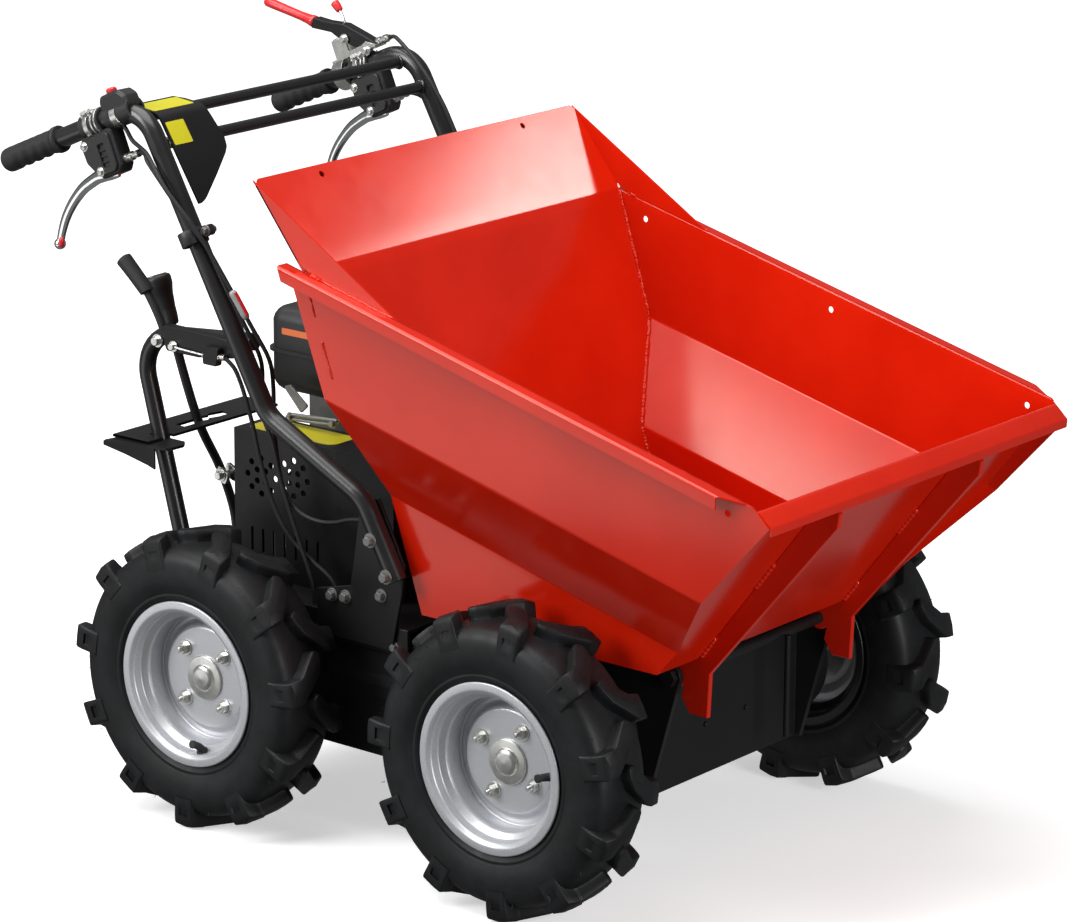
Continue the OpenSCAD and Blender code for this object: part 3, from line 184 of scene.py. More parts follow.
# Two matching grids joined round their edges into a sheet with thickness
def slab(front, back):
    rows, cols = front.shape[:2]
    count = rows * cols
    index = np.arange(count).reshape(rows, cols)
    edge = np.concatenate([index[0, :], index[1:, -1], index[-1, -2::-1], index[-2:0:-1, 0]])
    following = np.roll(edge, -1)
    rim = np.stack([edge, following, following + count, edge + count], -1)
    quads = gridQuads(rows, cols)
    points = np.vstack([placed(front).reshape(-1, 3), placed(back).reshape(-1, 3)])
    return points, [quads, quads[:, ::-1] + count, rim]


# Direction into a closed loop at each point, and its straightness there, 1 where it doesn't bend
def inwardOf(loop):
    along = unit(loop - np.roll(loop, 1, 0)) + unit(np.roll(loop, -1, 0) - loop)
    return unit(np.stack([-along[:, 1], along[:, 0]], -1)), np.linalg.norm(along, axis=-1, keepdims=True) / 2


# Side-view outline carried across from y0 to y1, with its edges eased by a small chamfer
def plate(outline, y0, y1, ease=0.8):
    outline = floats(outline)
    inward, straight = inwardOf(outline)
    x, z = outline.T
    area = np.sum(x * np.roll(z, -1) - z * np.roll(x, -1))
    small = outline + inward / np.maximum(straight, 0.35) * ease * np.sign(area)
    rings = [atY(small, y0), atY(outline, y0 + ease), atY(outline, y1 - ease), atY(small, y1)]
    return grid(np.stack(rings), closeCols=True, caps=True)


# Path moved sideways by t in its own plane, with mitred corners
def beside(path, t):
    ahead = np.diff(path, axis=0)
    normal = unit(np.stack([-ahead[:, 1], ahead[:, 0]], -1))
    joint = np.vstack([normal[:1], unit(normal[:-1] + normal[1:]), normal[-1:]])
    stretch = np.concatenate([[1], 1 / np.maximum(np.sum(joint[1:-1] * normal[1:], -1), 0.3), [1]])
    return path + joint * t * stretch[:, None]


def piece(name, parts, finish, stands=(), body="chassis", sharp=35, bevel=0.0):
    start, points, faces = 0, [], []
    for places, blocks in parts:
        points.append(places)
        for block in blocks:
            faces += (block + start).tolist()
        start += len(places)
    mesh = bpy.data.meshes.new(name)
    mesh.from_pydata(np.vstack(points).tolist(), [], faces)
    work = bmesh.new()
    work.from_mesh(mesh)
    bmesh.ops.remove_doubles(work, verts=work.verts, dist=2e-6)
    bmesh.ops.dissolve_degenerate(work, dist=1e-6, edges=work.edges)
    bmesh.ops.recalc_face_normals(work, faces=work.faces)
    work.to_mesh(mesh)
    work.free()
    return finished(name, mesh, finish, body, stands, sharp, bevel)


def finished(name, mesh, finish, body, stands, sharp, bevel):
    obj = bpy.data.objects.new(name, mesh)
    bpy.context.scene.collection.objects.link(obj)
    mesh.materials.clear()
    mesh.materials.append(finish.material)
    mesh.polygons.foreach_set("use_smooth", np.ones(len(mesh.polygons), bool))
    mesh.set_sharp_from_angle(angle=math.radians(sharp))
    if bevel:
        soften = obj.modifiers.new("softEdges", "BEVEL")
        soften.width, soften.segments = bevel * 0.001, 2
        soften.limit_method, soften.angle_limit = "ANGLE", math.radians(sharp)
        soften.harden_normals = True
    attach(obj, body)
    if stands:
        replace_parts(obj, *stands)
    return obj


# A solid of the frame copied, its triangles joined into whole faces, and its edges softened
def softened(name, node, finish, width, sharp=35, trim=None):
    mesh = nodes[node].data.copy()
    mesh.name = name
    work = bmesh.new()
    work.from_mesh(mesh)
    if trim is not None:  # what lies beyond this y is cut away and the cut closed
        cut = bmesh.ops.bisect_plane(work, geom=work.verts[:] + work.edges[:] + work.faces[:],
                                     plane_co=(0, trim, 0), plane_no=(0, -1, 0), clear_outer=True)
        bmesh.ops.holes_fill(work, edges=[g for g in cut["geom_cut"] if isinstance(g, bmesh.types.BMEdge)])
    bmesh.ops.remove_doubles(work, verts=work.verts, dist=5e-6)
    bmesh.ops.dissolve_limit(work, angle_limit=math.radians(0.6), verts=work.verts, edges=work.edges)
    work.to_mesh(mesh)
    work.free()
    return finished(name, mesh, finish, nodes[node]["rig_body"], [node], sharp, width)


# A socket in a finish's tree; arithmetic on it adds Math nodes
class Wire:
    def __init__(self, finish, socket):
        self.finish, self.socket = finish, socket

    def maths(self, operation, a, b, clamp=False):
        return self.finish.node("ShaderNodeMath", {"operation": operation, "use_clamp": clamp}, {0: a, 1: b})

    def __add__(self, other):
        return self.maths("ADD", self, other)

    def __sub__(self, other):
        return self.maths("SUBTRACT", self, other)

    def __rsub__(self, other):
        return self.maths("SUBTRACT", other, self)

    def __mul__(self, other):
        return self.maths("MULTIPLY", self, other)

    def above(self, low, high):  # 0 at low, 1 at high, eased between
        share = self.maths("DIVIDE", self - low, high - low, True)
        return share * share * (3.0 - 2.0 * share)

    __radd__ = __add__
    __rmul__ = __mul__


# A material: constants go on the shader's own sockets, patterns come in through node()
class Finish:
    def __init__(self, name, slotName, colour, **constants):
        self.slotName = slotName
        self.material = bpy.data.materials.new(name)
        self.material.use_nodes = True
        self.tree = self.material.node_tree
        self.shader = self.tree.nodes["Principled BSDF"]
        self.shader.inputs["Base Color"].default_value = (*colour, 1)
        self.material.diffuse_color = (*colour, 1)
        for key, value in constants.items():
            self.shader.inputs[key.replace("_", " ")].default_value = value
        self.place = self.node("ShaderNodeTexCoord", output="Object")

    def node(self, kind, settings=None, sockets=None, output=0):
        made = self.tree.nodes.new(kind)
        for key, value in (settings or {}).items():
            setattr(made, key, value)
        for key, value in (sockets or {}).items():
            if isinstance(value, Wire):
                self.tree.links.new(value.socket, made.inputs[key])
            else:
                made.inputs[key].default_value = value
        return Wire(self, made.outputs[output])

    def noise(self, scale, detail=3.0, rough=0.5):
        return self.node("ShaderNodeTexNoise", {"noise_dimensions": "3D"},
                         {"Vector": self.place, "Scale": scale, "Detail": detail, "Roughness": rough})

    def mixed(self, share, first, second):
        first, second = (c if isinstance(c, Wire) else (*c, 1) for c in (first, second))
        return self.node("ShaderNodeMix", {"data_type": "RGBA"}, {0: share, 6: first, 7: second}, 2)

    def feed(self, key, wire):
        self.tree.links.new(wire.socket, self.shader.inputs[key])

    def bump(self, height, distance, strength):
        sockets = {"Height": height, "Distance": distance, "Strength": strength}
        self.feed("Normal", self.node("ShaderNodeBump", {}, sockets))


bpy.context.scene.view_settings.view_transform = "Standard"

# Camera at the photograph's angle, from a fit to the wheels, hopper and handles; focal and wide are pixels
view = {"azimuth": 38.95, "elevation": 15.71, "roll": -0.31, "place": (3676, -4511, 2121), "focal": 4453,
        "wide": 1080, "sensor": 36.0}
azimuth, elevation = math.radians(view["azimuth"]), math.radians(view["elevation"])
lens = bpy.data.cameras.new("photoCamera")
lens.sensor_width, lens.sensor_fit = view["sensor"], "HORIZONTAL"
lens.lens = view["focal"] / view["wide"] * view["sensor"]
lens.clip_end = 200
camera = bpy.data.objects.new("photoCamera", lens)
bpy.context.scene.collection.objects.link(camera)
camera.location = placed(view["place"]).tolist()
camera.rotation_euler = (math.pi / 2 - elevation, math.radians(view["roll"]), azimuth)
bpy.context.scene.camera = camera

# Pale floor, in metres, and soft light
floorReach, floorDrop = 40, 0.0005
floorCorners = [(x * floorReach, y * floorReach, -floorDrop) for x, y in ((-1, -1), (1, -1), (1, 1), (-1, 1))]
floorMesh = bpy.data.meshes.new("floor")
floorMesh.from_pydata(floorCorners, [], [(0, 1, 2, 3)])
floor = bpy.data.objects.new("floor", floorMesh)
bpy.context.scene.collection.objects.link(floor)
floorFinish = Finish("paleFloor", None, (0.92, 0.92, 0.92), Roughness=0.9, Emission_Strength=1.0)
fromMiddle = floorFinish.node("ShaderNodeVectorMath", {"operation": "LENGTH"}, {0: floorFinish.place}, 1)
glow = 0.52 + 0.45 * fromMiddle.above(0.9, 3.0)  # the floor runs out to white around the machine
glowColour = floorFinish.node("ShaderNodeCombineColor", {}, {0: glow, 1: glow, 2: glow})
floorFinish.feed("Emission Color", glowColour)
floorFinish.feed("Roughness", 0.85 + 0.1 * floorFinish.noise(3.0))
floorMesh.materials.append(floorFinish.material)
floor.visible_diffuse = floor.visible_glossy = False  # it takes the shadow and throws no light back


def softbox(name, place, target, size, power):
    lamp = bpy.data.lights.new(name, "AREA")
    lamp.shape, lamp.size, lamp.size_y = "RECTANGLE", size[0], size[1]
    lamp.energy = power
    obj = bpy.data.objects.new(name, lamp)
    bpy.context.scene.collection.objects.link(obj)
    obj.location = place
    away = floats(place) - floats(target)
    tilt, turn = math.acos(away[2] / np.linalg.norm(away)), math.atan2(away[1], away[0]) + math.pi / 2
    obj.rotation_euler = (tilt, 0, turn)
    return obj


softbox("topBox", (-0.5, -0.5, 3.3), (0, 0, 0.4), (3.2, 2.8), 112)
softbox("nearBox", (-2.2, -3.5, 2.6), (0, 0, 0.5), (1.8, 2.2), 130)
farBox = softbox("farBox", (1.86, 4.0, 3.3), (0, 0.1, 0.8), (0.9, 0.9), 34)
softbox("frontBox", (3.9, -0.9, 1.2), (0.2, 0, 0.5), (1.4, 1.8), 80)
softbox("lowBox", (-1.6, -2.4, 0.02), (-0.9, -1.5, 3.0), (1.8, 1.6), 11)
sky = bpy.data.worlds.new("paleRoom")
bpy.context.scene.world = sky
sky.use_nodes = True
sky.node_tree.nodes["Background"].inputs["Color"].default_value = (1, 1, 1, 1)
sky.node_tree.nodes["Background"].inputs["Strength"].default_value = 0.17
print("camera and light set")


# Usual finish: the colour wanders between two tones, roughness is base + spread x noise, and a grain
# is raised; cloud, rough and grain end in the noise's scale, detail and roughness
def patterned(name, slotName, colour, rough, tones=None, cloud=(), ease=None, grain=None, raised=(),
              **constants):
    made = Finish(name, slotName, colour, **constants)
    if tones:
        share = made.noise(*cloud)
        made.feed("Base Color", made.mixed(share.above(*ease) if ease else share, *tones))
    base, spread, *scales = rough
    made.feed("Roughness", base + spread * made.noise(*scales))
    if grain:
        made.bump(made.noise(*grain), *raised)
    return made


redPaint = patterned("redPaint", "red_paint", (0.64, 0.014, 0.002), (0.12, 0.07, 35.0, 4.0),
                     ((0.60, 0.012, 0.0015), (0.67, 0.017, 0.003)), (7.0, 3.0), (0.3, 0.75),
                     grain=(110.0, 1.0), raised=(0.0001, 0.10),  # orange peel
                     Specular_IOR_Level=0.6, Specular_Tint=(1.0, 0.78, 0.68, 1))
blackPaint = patterned("blackPaint", "black_paint", (0.009, 0.009, 0.010), (0.34, 0.16, 45.0, 5.0),
                       ((0.006, 0.006, 0.007), (0.012, 0.012, 0.013)), (14.0, 4.0),
                       grain=(520.0, 2.0), raised=(0.0002, 0.4), Specular_IOR_Level=0.3)  # powder grain
tubePaint = patterned("tubePaint", "black_paint", (0.010, 0.010, 0.011), (0.26, 0.12, 60.0, 4.0),
                      ((0.007, 0.007, 0.008), (0.013, 0.013, 0.014)), (20.0, 3.0), grain=(160.0, 2.0),
                      raised=(0.0001, 0.15), Coat_Weight=0.35, Coat_Roughness=0.24, Specular_IOR_Level=0.5)
tyreRubber = patterned("tyreRubber", "tyre_rubber", (0.013, 0.014, 0.0155), (0.4, 0.22, 70.0, 4.0),
                       ((0.0045, 0.005, 0.0058), (0.011, 0.012, 0.0135)), (18.0, 5.0, 0.6), (0.35, 0.7),
                       grain=(330.0, 4.0, 0.65), raised=(0.0004, 0.5), Specular_IOR_Level=0.34)
zincPlate = patterned("zincPlate", "zinc", (0.70, 0.70, 0.68), (0.22, 0.18, 140.0, 3.0),
                      ((0.62, 0.62, 0.60), (0.80, 0.79, 0.74)), (60.0, 4.0, 0.6), (0.35, 0.7),
                      grain=(900.0, 2.0), raised=(0.0001, 0.3), Metallic=1.0)
chromePlate = patterned("chromePlate", "chrome", (0.82, 0.83, 0.84), (0.07, 0.10, 55.0, 3.0),
                        grain=(180.0, 2.0), raised=(0.0001, 0.12), Metallic=1.0)
gripRubber = patterned("gripRubber", "black_rubber", (0.016, 0.016, 0.016), (0.48, 0.2, 90.0, 3.0),
                       ((0.012, 0.012, 0.012), (0.022, 0.022, 0.022)), (40.0, 3.0),
                       grain=(700.0, 3.0), raised=(0.0003, 0.5), Specular_IOR_Level=0.4)
blackPlastic = patterned("blackPlastic", "black_plastic", (0.016, 0.016, 0.017), (0.36, 0.2, 110.0, 3.0),
                         ((0.012, 0.012, 0.013), (0.022, 0.022, 0.023)), (30.0, 3.0),
                         grain=(800.0, 2.0), raised=(0.0002, 0.45), Specular_IOR_Level=0.5)
greyPlastic = patterned("greyPlastic", "black_plastic", (0.36, 0.37, 0.38), (0.28, 0.16, 120.0, 3.0),
                        ((0.32, 0.33, 0.34), (0.42, 0.43, 0.44)), (60.0, 3.0), Specular_IOR_Level=0.5)
redVinyl = patterned("redVinyl", "red_sleeve", (0.70, 0.018, 0.022), (0.25, 0.12, 120.0, 3.0),
                     ((0.64, 0.014, 0.018), (0.76, 0.026, 0.03)), (35.0, 2.0),
                     Coat_Weight=0.3, Coat_Roughness=0.1)
castMetal = patterned("castMetal", "engine_metal", (0.22, 0.22, 0.22), (0.42, 0.2, 160.0, 3.0),
                      ((0.16, 0.16, 0.16), (0.30, 0.30, 0.29)), (50.0, 4.0),
                      grain=(450.0, 3.0), raised=(0.0004, 0.5), Metallic=0.8)
yellowFilm = patterned("yellowFilm", "black_paint", (0.62, 0.56, 0.012), (0.3, 0.1, 80.0, 3.0),
                       ((0.58, 0.53, 0.010), (0.66, 0.60, 0.018)), (25.0, 3.0),
                       Coat_Weight=0.4, Coat_Roughness=0.08)
orangeFilm = patterned("orangeFilm", "black_plastic", (0.80, 0.16, 0.012), (0.3, 0.1, 80.0, 3.0),
                       ((0.76, 0.14, 0.010), (0.84, 0.18, 0.016)), (25.0, 3.0),
                       Coat_Weight=0.4, Coat_Roughness=0.08)

# Silver on the wheels: fine flakes, and painted shade: near black on the rim's side towards the chassis,
# where the light does not reach
silverPaint = patterned("silverPaint", "silver_paint", (0.46, 0.47, 0.49), (0.34, 0.12, 30.0, 3.0),
                        grain=(240.0, 2.0), raised=(0.0002, 0.25), Coat_Weight=0.2, Coat_Roughness=0.15)
fromAxis = silverPaint.node("ShaderNodeSeparateXYZ", {}, {0: silverPaint.place}, 1)
# Painted shade: the rim within 0.316 m of the middle, on the side towards the chassis, is mixed to near black
# and loses its metal
paintedShadeInside = 1.0 - fromAxis.maths("ABSOLUTE", fromAxis, 0).above(0.316, 0.318)
flake = silverPaint.noise(900.0, 1.0).above(0.3, 0.7)
bright = silverPaint.mixed(flake, (0.56, 0.57, 0.59), (0.68, 0.69, 0.72))
silverPaint.feed("Base Color", silverPaint.mixed(paintedShadeInside, bright, (0.006, 0.006, 0.007)))
silverPaint.feed("Metallic", 0.6 - 0.6 * paintedShadeInside)
ownFinishes = (redPaint, blackPaint, tyreRubber, silverPaint, zincPlate, chromePlate, gripRubber,
               blackPlastic, redVinyl, castMetal)
finishOf = {finish.slotName: finish for finish in ownFinishes}
print("finishes made", len(finishOf))

# Hopper: every sheet is a grid between its rear and front outlines, with rounded folds
hopper = {"fall": 14.0, "rear": (-115, 802), "half": 353, "rimWide": 22, "rimDrop": 18, "lean": 5,
          "fold1": 154, "fold2": 275, "floorHalf": 250, "floorZ": 336, "floorRear": 46, "floorFront": 436,
          "lip": 664, "lipDrop": 18, "lipWide": 26, "lipThick": 10, "inset": 25, "rimCut": 67,
          "cornerCut": 26, "guardBack": 58, "guardHigh": 101, "wing": 184, "thick": 2.5, "bend": 14,
          "holeR": 4.5, "holeStart": 85, "holePitch": 330, "holeDrop": 24}
fall = math.radians(hopper["fall"])
alongRim = np.array([math.cos(fall), -math.sin(fall)])
downRim = np.array([-math.sin(fall), -math.cos(fall)])
rimRear, steel = hopper["rear"], hopper["thick"]
wallHalf = hopper["half"] - hopper["rimWide"]
foldHalf = wallHalf - hopper["lean"]


def rimHeight(x):
    return rimRear[1] - (x - rimRear[0]) * math.tan(fall)


floorRear, floorFront = ((hopper[key], hopper["floorZ"]) for key in ("floorRear", "floorFront"))
lipPoint = (hopper["lip"], rimHeight(hopper["lip"]) - hopper["lipDrop"])
cornerX = hopper["lip"] - hopper["cornerCut"]
rearSlope = (floorRear[0] - rimRear[0]) / (rimRear[1] - floorRear[1])


# Where a line along the rim, at each drop below it, meets the sloping line from a to b in the side view
def meets(drop, a, b):
    start = floats(rimRear) + floats(drop)[:, None] * downRim
    edge, away = floats(b) - floats(a), floats(a) - start
    s = (away[:, 0] * edge[1] - away[:, 1] * edge[0]) / (alongRim[0] * edge[1] - alongRim[1] * edge[0])
    return start + s[:, None] * alongRim


# Section of a side wall or its rim carried from the rear wall to the front wall, or to the x of a cut
def wallGrid(section, side, frontCut=None):
    drop = -section[:, 1]
    rearPoint = meets(drop, rimRear, floorRear)
    if frontCut is None:
        low, high = meets(drop, floorFront, lipPoint), meets(drop, lipPoint, (cornerX, rimHeight(cornerX)))
        frontPoint = np.where(low[:, :1] < high[:, :1], low, high)
    else:
        frontPoint = np.stack([frontCut, rimHeight(frontCut) - drop / math.cos(fall)], -1)
    t = wallCols[None, :, None]
    return atY(rearPoint[:, None, :] * (1 - t) + frontPoint[:, None, :] * t, side * section[:, :1])


# Round hole in a flat cell of a sheet: the ring runs from a circle out to the cell's own four sides
def holeRing(sheet, row, col, radius, steps=32):
    corners = sheet[[row, row + 1, row + 1, row], [col, col, col + 1, col + 1]]
    share = np.linspace(0, 4, steps, endpoint=False)
    k, f = share.astype(int), (share % 1)[:, None]
    edge = corners[k] * (1 - f) + corners[(k + 1) % 4] * f
    centre = corners.mean(0)
    return centre + unit(edge - centre) * radius, edge


# Flat sheet between two grids, with round holes at the middles of the cells named in holes
def holedSlab(front, back, holes):
    points, faces = slab(front, back)
    gone = np.array([row * (front.shape[1] - 1) + col for row, col in holes], int)
    parts = [(points, [np.delete(faces[0], gone, 0), np.delete(faces[1], gone, 0), faces[2]])]
    for row, col in holes:
        (near, nearEdge), (far, farEdge) = (holeRing(g, row, col, hopper["holeR"]) for g in (front, back))
        parts.append(grid(np.stack([nearEdge, near, far, farEdge]), closeCols=True))
    return parts


# A drop on the upper panel, as a point of the wall's section
def onPanel(drop):
    return (wallHalf - hopper["lean"] * drop / hopper["fold1"], -drop)


# The cells with holes start at the drop of the wall's corner at the lip
cornerDrop = hopper["lipDrop"] * math.cos(fall)
holeDrops = [cornerDrop, 2 * hopper["holeDrop"] - cornerDrop]
floorHalf, fold2 = hopper["floorHalf"], hopper["fold2"]
wallCorners = [(wallHalf + 4, 0), (wallHalf, 0), onPanel(holeDrops[0]), onPanel(holeDrops[1]),
               (foldHalf, -hopper["fold1"]), (floorHalf, -fold2), (floorHalf, -fold2 - 14)]
section = rounded(wallCorners, [3, 0, 0, 8, 8], 7)
flange = rounded([(hopper["half"], -hopper["rimDrop"]), (hopper["half"], 0), (wallHalf + 2, 0)], [4], 7)
lineEnds = [meets([hopper["holeDrop"]], a, b)[0] for a, b in ((rimRear, floorRear), (floorFront, lipPoint))]
lineStart, lineStop = ((e - floats(rimRear)) @ alongRim for e in lineEnds)
holeAt = (hopper["holeStart"] + hopper["holePitch"] * np.arange(3) - lineStart) / (lineStop - lineStart)
cellHalf = (holeDrops[1] - holeDrops[0]) / 2 / (lineStop - lineStart)
plainCols = np.linspace(0, 1, 25)
plainCols = plainCols[np.abs(plainCols[:, None] - holeAt).min(1) > cellHalf * 1.05]
wallCols = np.sort(np.concatenate([plainCols, holeAt - cellHalf, holeAt + cellHalf]))
holeRow = int(np.argmin(np.abs(section[:, 1] + holeDrops[0])))
holeCells = [(holeRow, int(np.searchsorted(wallCols, t - cellHalf * 1.001))) for t in holeAt]
outFrom = np.clip((flange[:, 0] - wallHalf) / hopper["rimWide"], 0, 1)
rimEnd = cornerX - (hopper["rimCut"] - hopper["cornerCut"]) * outFrom  # the rim's front end is cut on a slant
foot = np.interp(wallCols, [0, 1], [floorRear[0], floorFront[0]])
foot = np.stack([foot, np.full(len(foot), hopper["floorZ"])], -1)[None]
for side, sideName in bothSides:
    inside = np.vstack([wallGrid(section, side), atY(foot, side * floorHalf)])
    outside = np.vstack([wallGrid(beside(section, steel), side), atY(foot, side * (floorHalf + steel))])
    rim = slab(wallGrid(flange, side, rimEnd), wallGrid(beside(flange, steel), side, rimEnd))
    piece("hopperSide_" + sideName, holedSlab(inside, outside, holeCells) + [rim], redPaint,
          ["side_wall_" + sideName], "hopper", bevel=0.5)
print("hopper sides built")


# Half width inside the hopper at a side-view point, from how far it lies below the rim
def insideHalf(x, z):
    drop = (rimRear[1] - z) * math.cos(fall) - (x - rimRear[0]) * math.sin(fall)
    return np.interp(drop, [0, hopper["fold1"], fold2], [wallHalf, foldHalf, floorHalf])


# Sheet across the hopper along a side-view path, its width following the side walls at each point
def crossSheet(path, thick):
    share = np.linspace(0, 1, 9)[None, :, None]
    faces = []
    for p in (path, beside(path, thick)):
        half = insideHalf(p[:, 0], p[:, 1])
        faces.append(atY(p, -half)[:, None, :] * (1 - share) + atY(p, half)[:, None, :] * share)
    return slab(*faces)


def dense(path, step=14.0):
    out = [path[:1]]
    for a, b in zip(path[:-1], path[1:]):
        n = max(1, int(np.linalg.norm(b - a) / step))
        out.append(a + (b - a) * np.linspace(0, 1, n + 1)[1:, None])
    return np.vstack(out)


rearFoot = np.array([floorRear[0] + hopper["inset"], floorRear[1]], float)
foldX = rimRear[0] + hopper["inset"] / (1 - math.tan(fall) * rearSlope)
guardFold = np.array([foldX, rimHeight(foldX)])
guardTop = np.array([rimRear[0] - hopper["guardBack"], rimRear[1] + hopper["guardHigh"]])
bendFoot = guardFold - unit(guardFold - rearFoot) * hopper["bend"]
rearPath = dense(np.array([rearFoot, bendFoot]))
piece("hopperRear", [crossSheet(rearPath, -steel)], redPaint, ["rear_wall"], "hopper")

# The front wall leans out to the lip, which is turned forwards and then down
frontFoot, frontTop = floats(floorFront), floats(lipPoint)
edgeAlong = unit(frontTop - frontFoot)
lipFold = frontTop + np.array([-edgeAlong[1], edgeAlong[0]]) * hopper["lipWide"]
frontAlong = unit(lipFold - frontFoot)
frontOut = np.array([frontAlong[1], -frontAlong[0]])
lipEnd = frontTop - np.array([0.1, 1.0]) * hopper["lipThick"]
lipPath = rounded([lipFold - frontAlong * 12, lipFold, frontTop, lipEnd], [4, 3], 6)
frontPath = np.vstack([dense(np.vstack([frontFoot, lipPath[0]])), lipPath[1:]])
piece("hopperFront", [crossSheet(frontPath, steel)], redPaint, ["front_wall"], "hopper", bevel=0.4)
floorPath = dense(np.array([rearFoot, frontFoot]))
piece("hopperFloor", [crossSheet(floorPath, steel)], redPaint, ["hopper_floor"], "hopper", bevel=0.4)

# Splash guard: bent up from the rear wall, its top corners cut off and its top edge turned back as a hem
guard = {"cut": 9, "holeCols": (2, 6), "holeBand": (196, 224), "hemInset": 12, "hemBack": 6, "hemDown": 24,
         "hemThick": 1.6}
guardUp = unit(guardTop - guardFold)
guardOut = np.array([guardUp[1], -guardUp[0]])
guardHalf = wallHalf + steel
guardBend = rounded([bendFoot, guardFold, guardFold + guardUp * 30], 12, 6)
guardPath = np.vstack([guardBend, [guardTop - guardUp * 28, guardTop]])
guardY = np.array([60, *guard["holeBand"], guardHalf - guard["cut"], guardHalf])
guardY = np.concatenate([-guardY[::-1], guardY])


def guardSheet(path):
    half = np.where(path[:, 1] > rimHeight(path[:, 0]), guardHalf, insideHalf(path[:, 0], path[:, 1]))
    y = np.clip(guardY[None, :], -half[:, None], half[:, None])
    sheet = atY(np.repeat(path[:, None, :], len(guardY), 1), y)
    sheet[-1, [0, -1]] -= np.array([guardUp[0], 0, guardUp[1]]) * guard["cut"]
    return sheet


guardHoles = [(len(guardPath) - 2, col) for col in guard["holeCols"]]
guardParts = holedSlab(guardSheet(beside(guardPath, -steel)), guardSheet(guardPath), guardHoles)
hemTop, hemBack = guardTop + guardUp * 0.6, guardOut * guard["hemBack"]
hemEnd = guardTop - hemBack - guardUp * guard["hemDown"]
hem = rounded([guardTop - guardUp * 2, hemTop, hemTop - hemBack, hemEnd], [1.4, 2.4], 5)
hemHalf = guardHalf - guard["hemInset"]
hemPaths = (hem, beside(hem, guard["hemThick"]))
hemFaces = [atY(np.repeat(p[:, None, :], 3, 1), [-hemHalf, 0, hemHalf]) for p in hemPaths]
guardParts.append(slab(*hemFaces))
wingX = rimRear[0] + hopper["wing"]
wingFoot = np.array([wingX, rimHeight(wingX)])
wingShare = np.linspace(0, 1, 9)[:, None]
wingTop, wingLow = (guardFold + (end - guardFold) * wingShare for end in (guardTop, wingFoot))
wingRows = np.stack([wingTop + (wingLow - wingTop) * t for t in np.linspace(0, 1, 7)])[:, 1:]
guardParts += [slab(atY(wingRows, side * wallHalf), atY(wingRows, side * guardHalf)) for side in (-1, 1)]
splashGuard = piece("splashGuard", guardParts, redPaint, ["splash_guard"], "hopper")
farBox.light_linking.receiver_collection = bpy.data.collections.new("guardOnly")  # flagged off the rest
farBox.light_linking.receiver_collection.objects.link(splashGuard)

# Ribs under the front wall that run down into the legs on the pivot
leg = {"y": 158, "thick": 8, "top": 24, "tip": (648, 567), "shoulder": (645, 548), "knee": (452, 317),
       "front": 449, "rear": 406, "low": 257, "pivot": (398, 305), "eye": 16}
ribTop = lipFold - frontAlong * leg["top"]
eyeTurn = np.linspace(0.1, -np.pi, 14)[3:]
eyeArc = np.array(leg["pivot"]) + leg["eye"] * np.stack([np.cos(eyeTurn), np.sin(eyeTurn)], -1)
legFront = [frontFoot, ribTop, leg["tip"], leg["shoulder"], leg["knee"], (leg["front"], leg["low"]),
            (leg["rear"] + 14, leg["low"]), (leg["rear"] + 1, leg["low"] + 20)]
legOutline = np.vstack([legFront, eyeArc, [(leg["pivot"][0] - leg["eye"], hopper["floorZ"])]])
for side, sideName in bothSides:
    legPlate = plate(legOutline, side * leg["y"] - leg["thick"] / 2, side * leg["y"] + leg["thick"] / 2, 1.0)
    piece("hopperLeg_" + sideName, [legPlate], redPaint, ["hinge_leg_" + sideName], "hopper", sharp=30)

dice = np.random.default_rng(7)


# Weld bead: a round profile along a line, its radius rising and falling with each drop of metal
def weldBead(a, b, radius, pitch=4.0, rough=1.0):
    a, b = floats(a), floats(b)
    long = np.linalg.norm(b - a)
    share = np.linspace(0, 1, int(long / pitch * 6) + 2)
    drops = dice.uniform(-1, 1, (4, int(long / pitch) + 3))  # a size and a shift in x, y and z for each drop
    at = share * long / pitch
    size, *shift = [np.interp(at, np.arange(drops.shape[1]), d) for d in drops]
    path = a + (b - a) * share[:, None] + np.stack(shift, -1) * 0.45 * rough
    swell = radius * (0.72 + 0.34 * np.abs(np.sin(at * np.pi)) + 0.16 * rough * size)
    swell = swell * np.clip(np.minimum(share, 1 - share) * long / 3.0, 0.15, 1)
    return tube(path, swell, 10, side=(0.36, 0.8, 0.48))


# Stitches run between distances from a rib's foot, and show through the side between shares of the rear wall
weld = {"stitches": ((2, 42), (139, 190)), "through": ((0.03, 0.13), (0.19, 0.30)), "tack": (26, 0, -6.4)}
beads = []
for side in (-1, 1):
    folds = meets([hopper["fold1"], fold2], rearFoot, guardFold)
    corners = [(p[0] + 3.0, side * (insideHalf(p[0], p[1]) - 1.4), p[1])
               for p in (guardFold, *folds, rearFoot + [0, 3])]
    beads += [weldBead(corners[i], corners[i + 1], 3.0, 5.0, 1.3) for i in range(3)]
    wingLine = [(p[0], side * (guardHalf + 0.4), p[1] + 0.6)
                for p in (guardFold + (wingFoot - guardFold) * 0.06, wingFoot)]
    beads += [weldBead(*wingLine, 1.5, 9.0, 1.0),
              weldBead(wingLine[0], np.array(wingLine[0]) + weld["tack"], 3.4, 6.0, 1.5)]
    for stitch in weld["stitches"]:
        line = [frontFoot + frontAlong * u + frontOut * 0.8 for u in stitch]
        for face in (-1, 1):
            y = side * leg["y"] + face * (leg["thick"] / 2 + 0.8)
            beads.append(weldBead(*atY(line, y), 3.3, 7.0, 0.6))
    for through in weld["through"]:
        line = np.array([guardFold + (rearFoot - guardFold) * u + [1, 0] for u in through])
        y = side * (insideHalf(line[:, 0], line[:, 1]) + steel - 0.3)
        beads.append(weldBead(*atY(line, y), 2.0, 7.0, 1.5))
piece("hopperWelds", beads, redPaint, body="hopper", sharp=60)
print("hopper built")


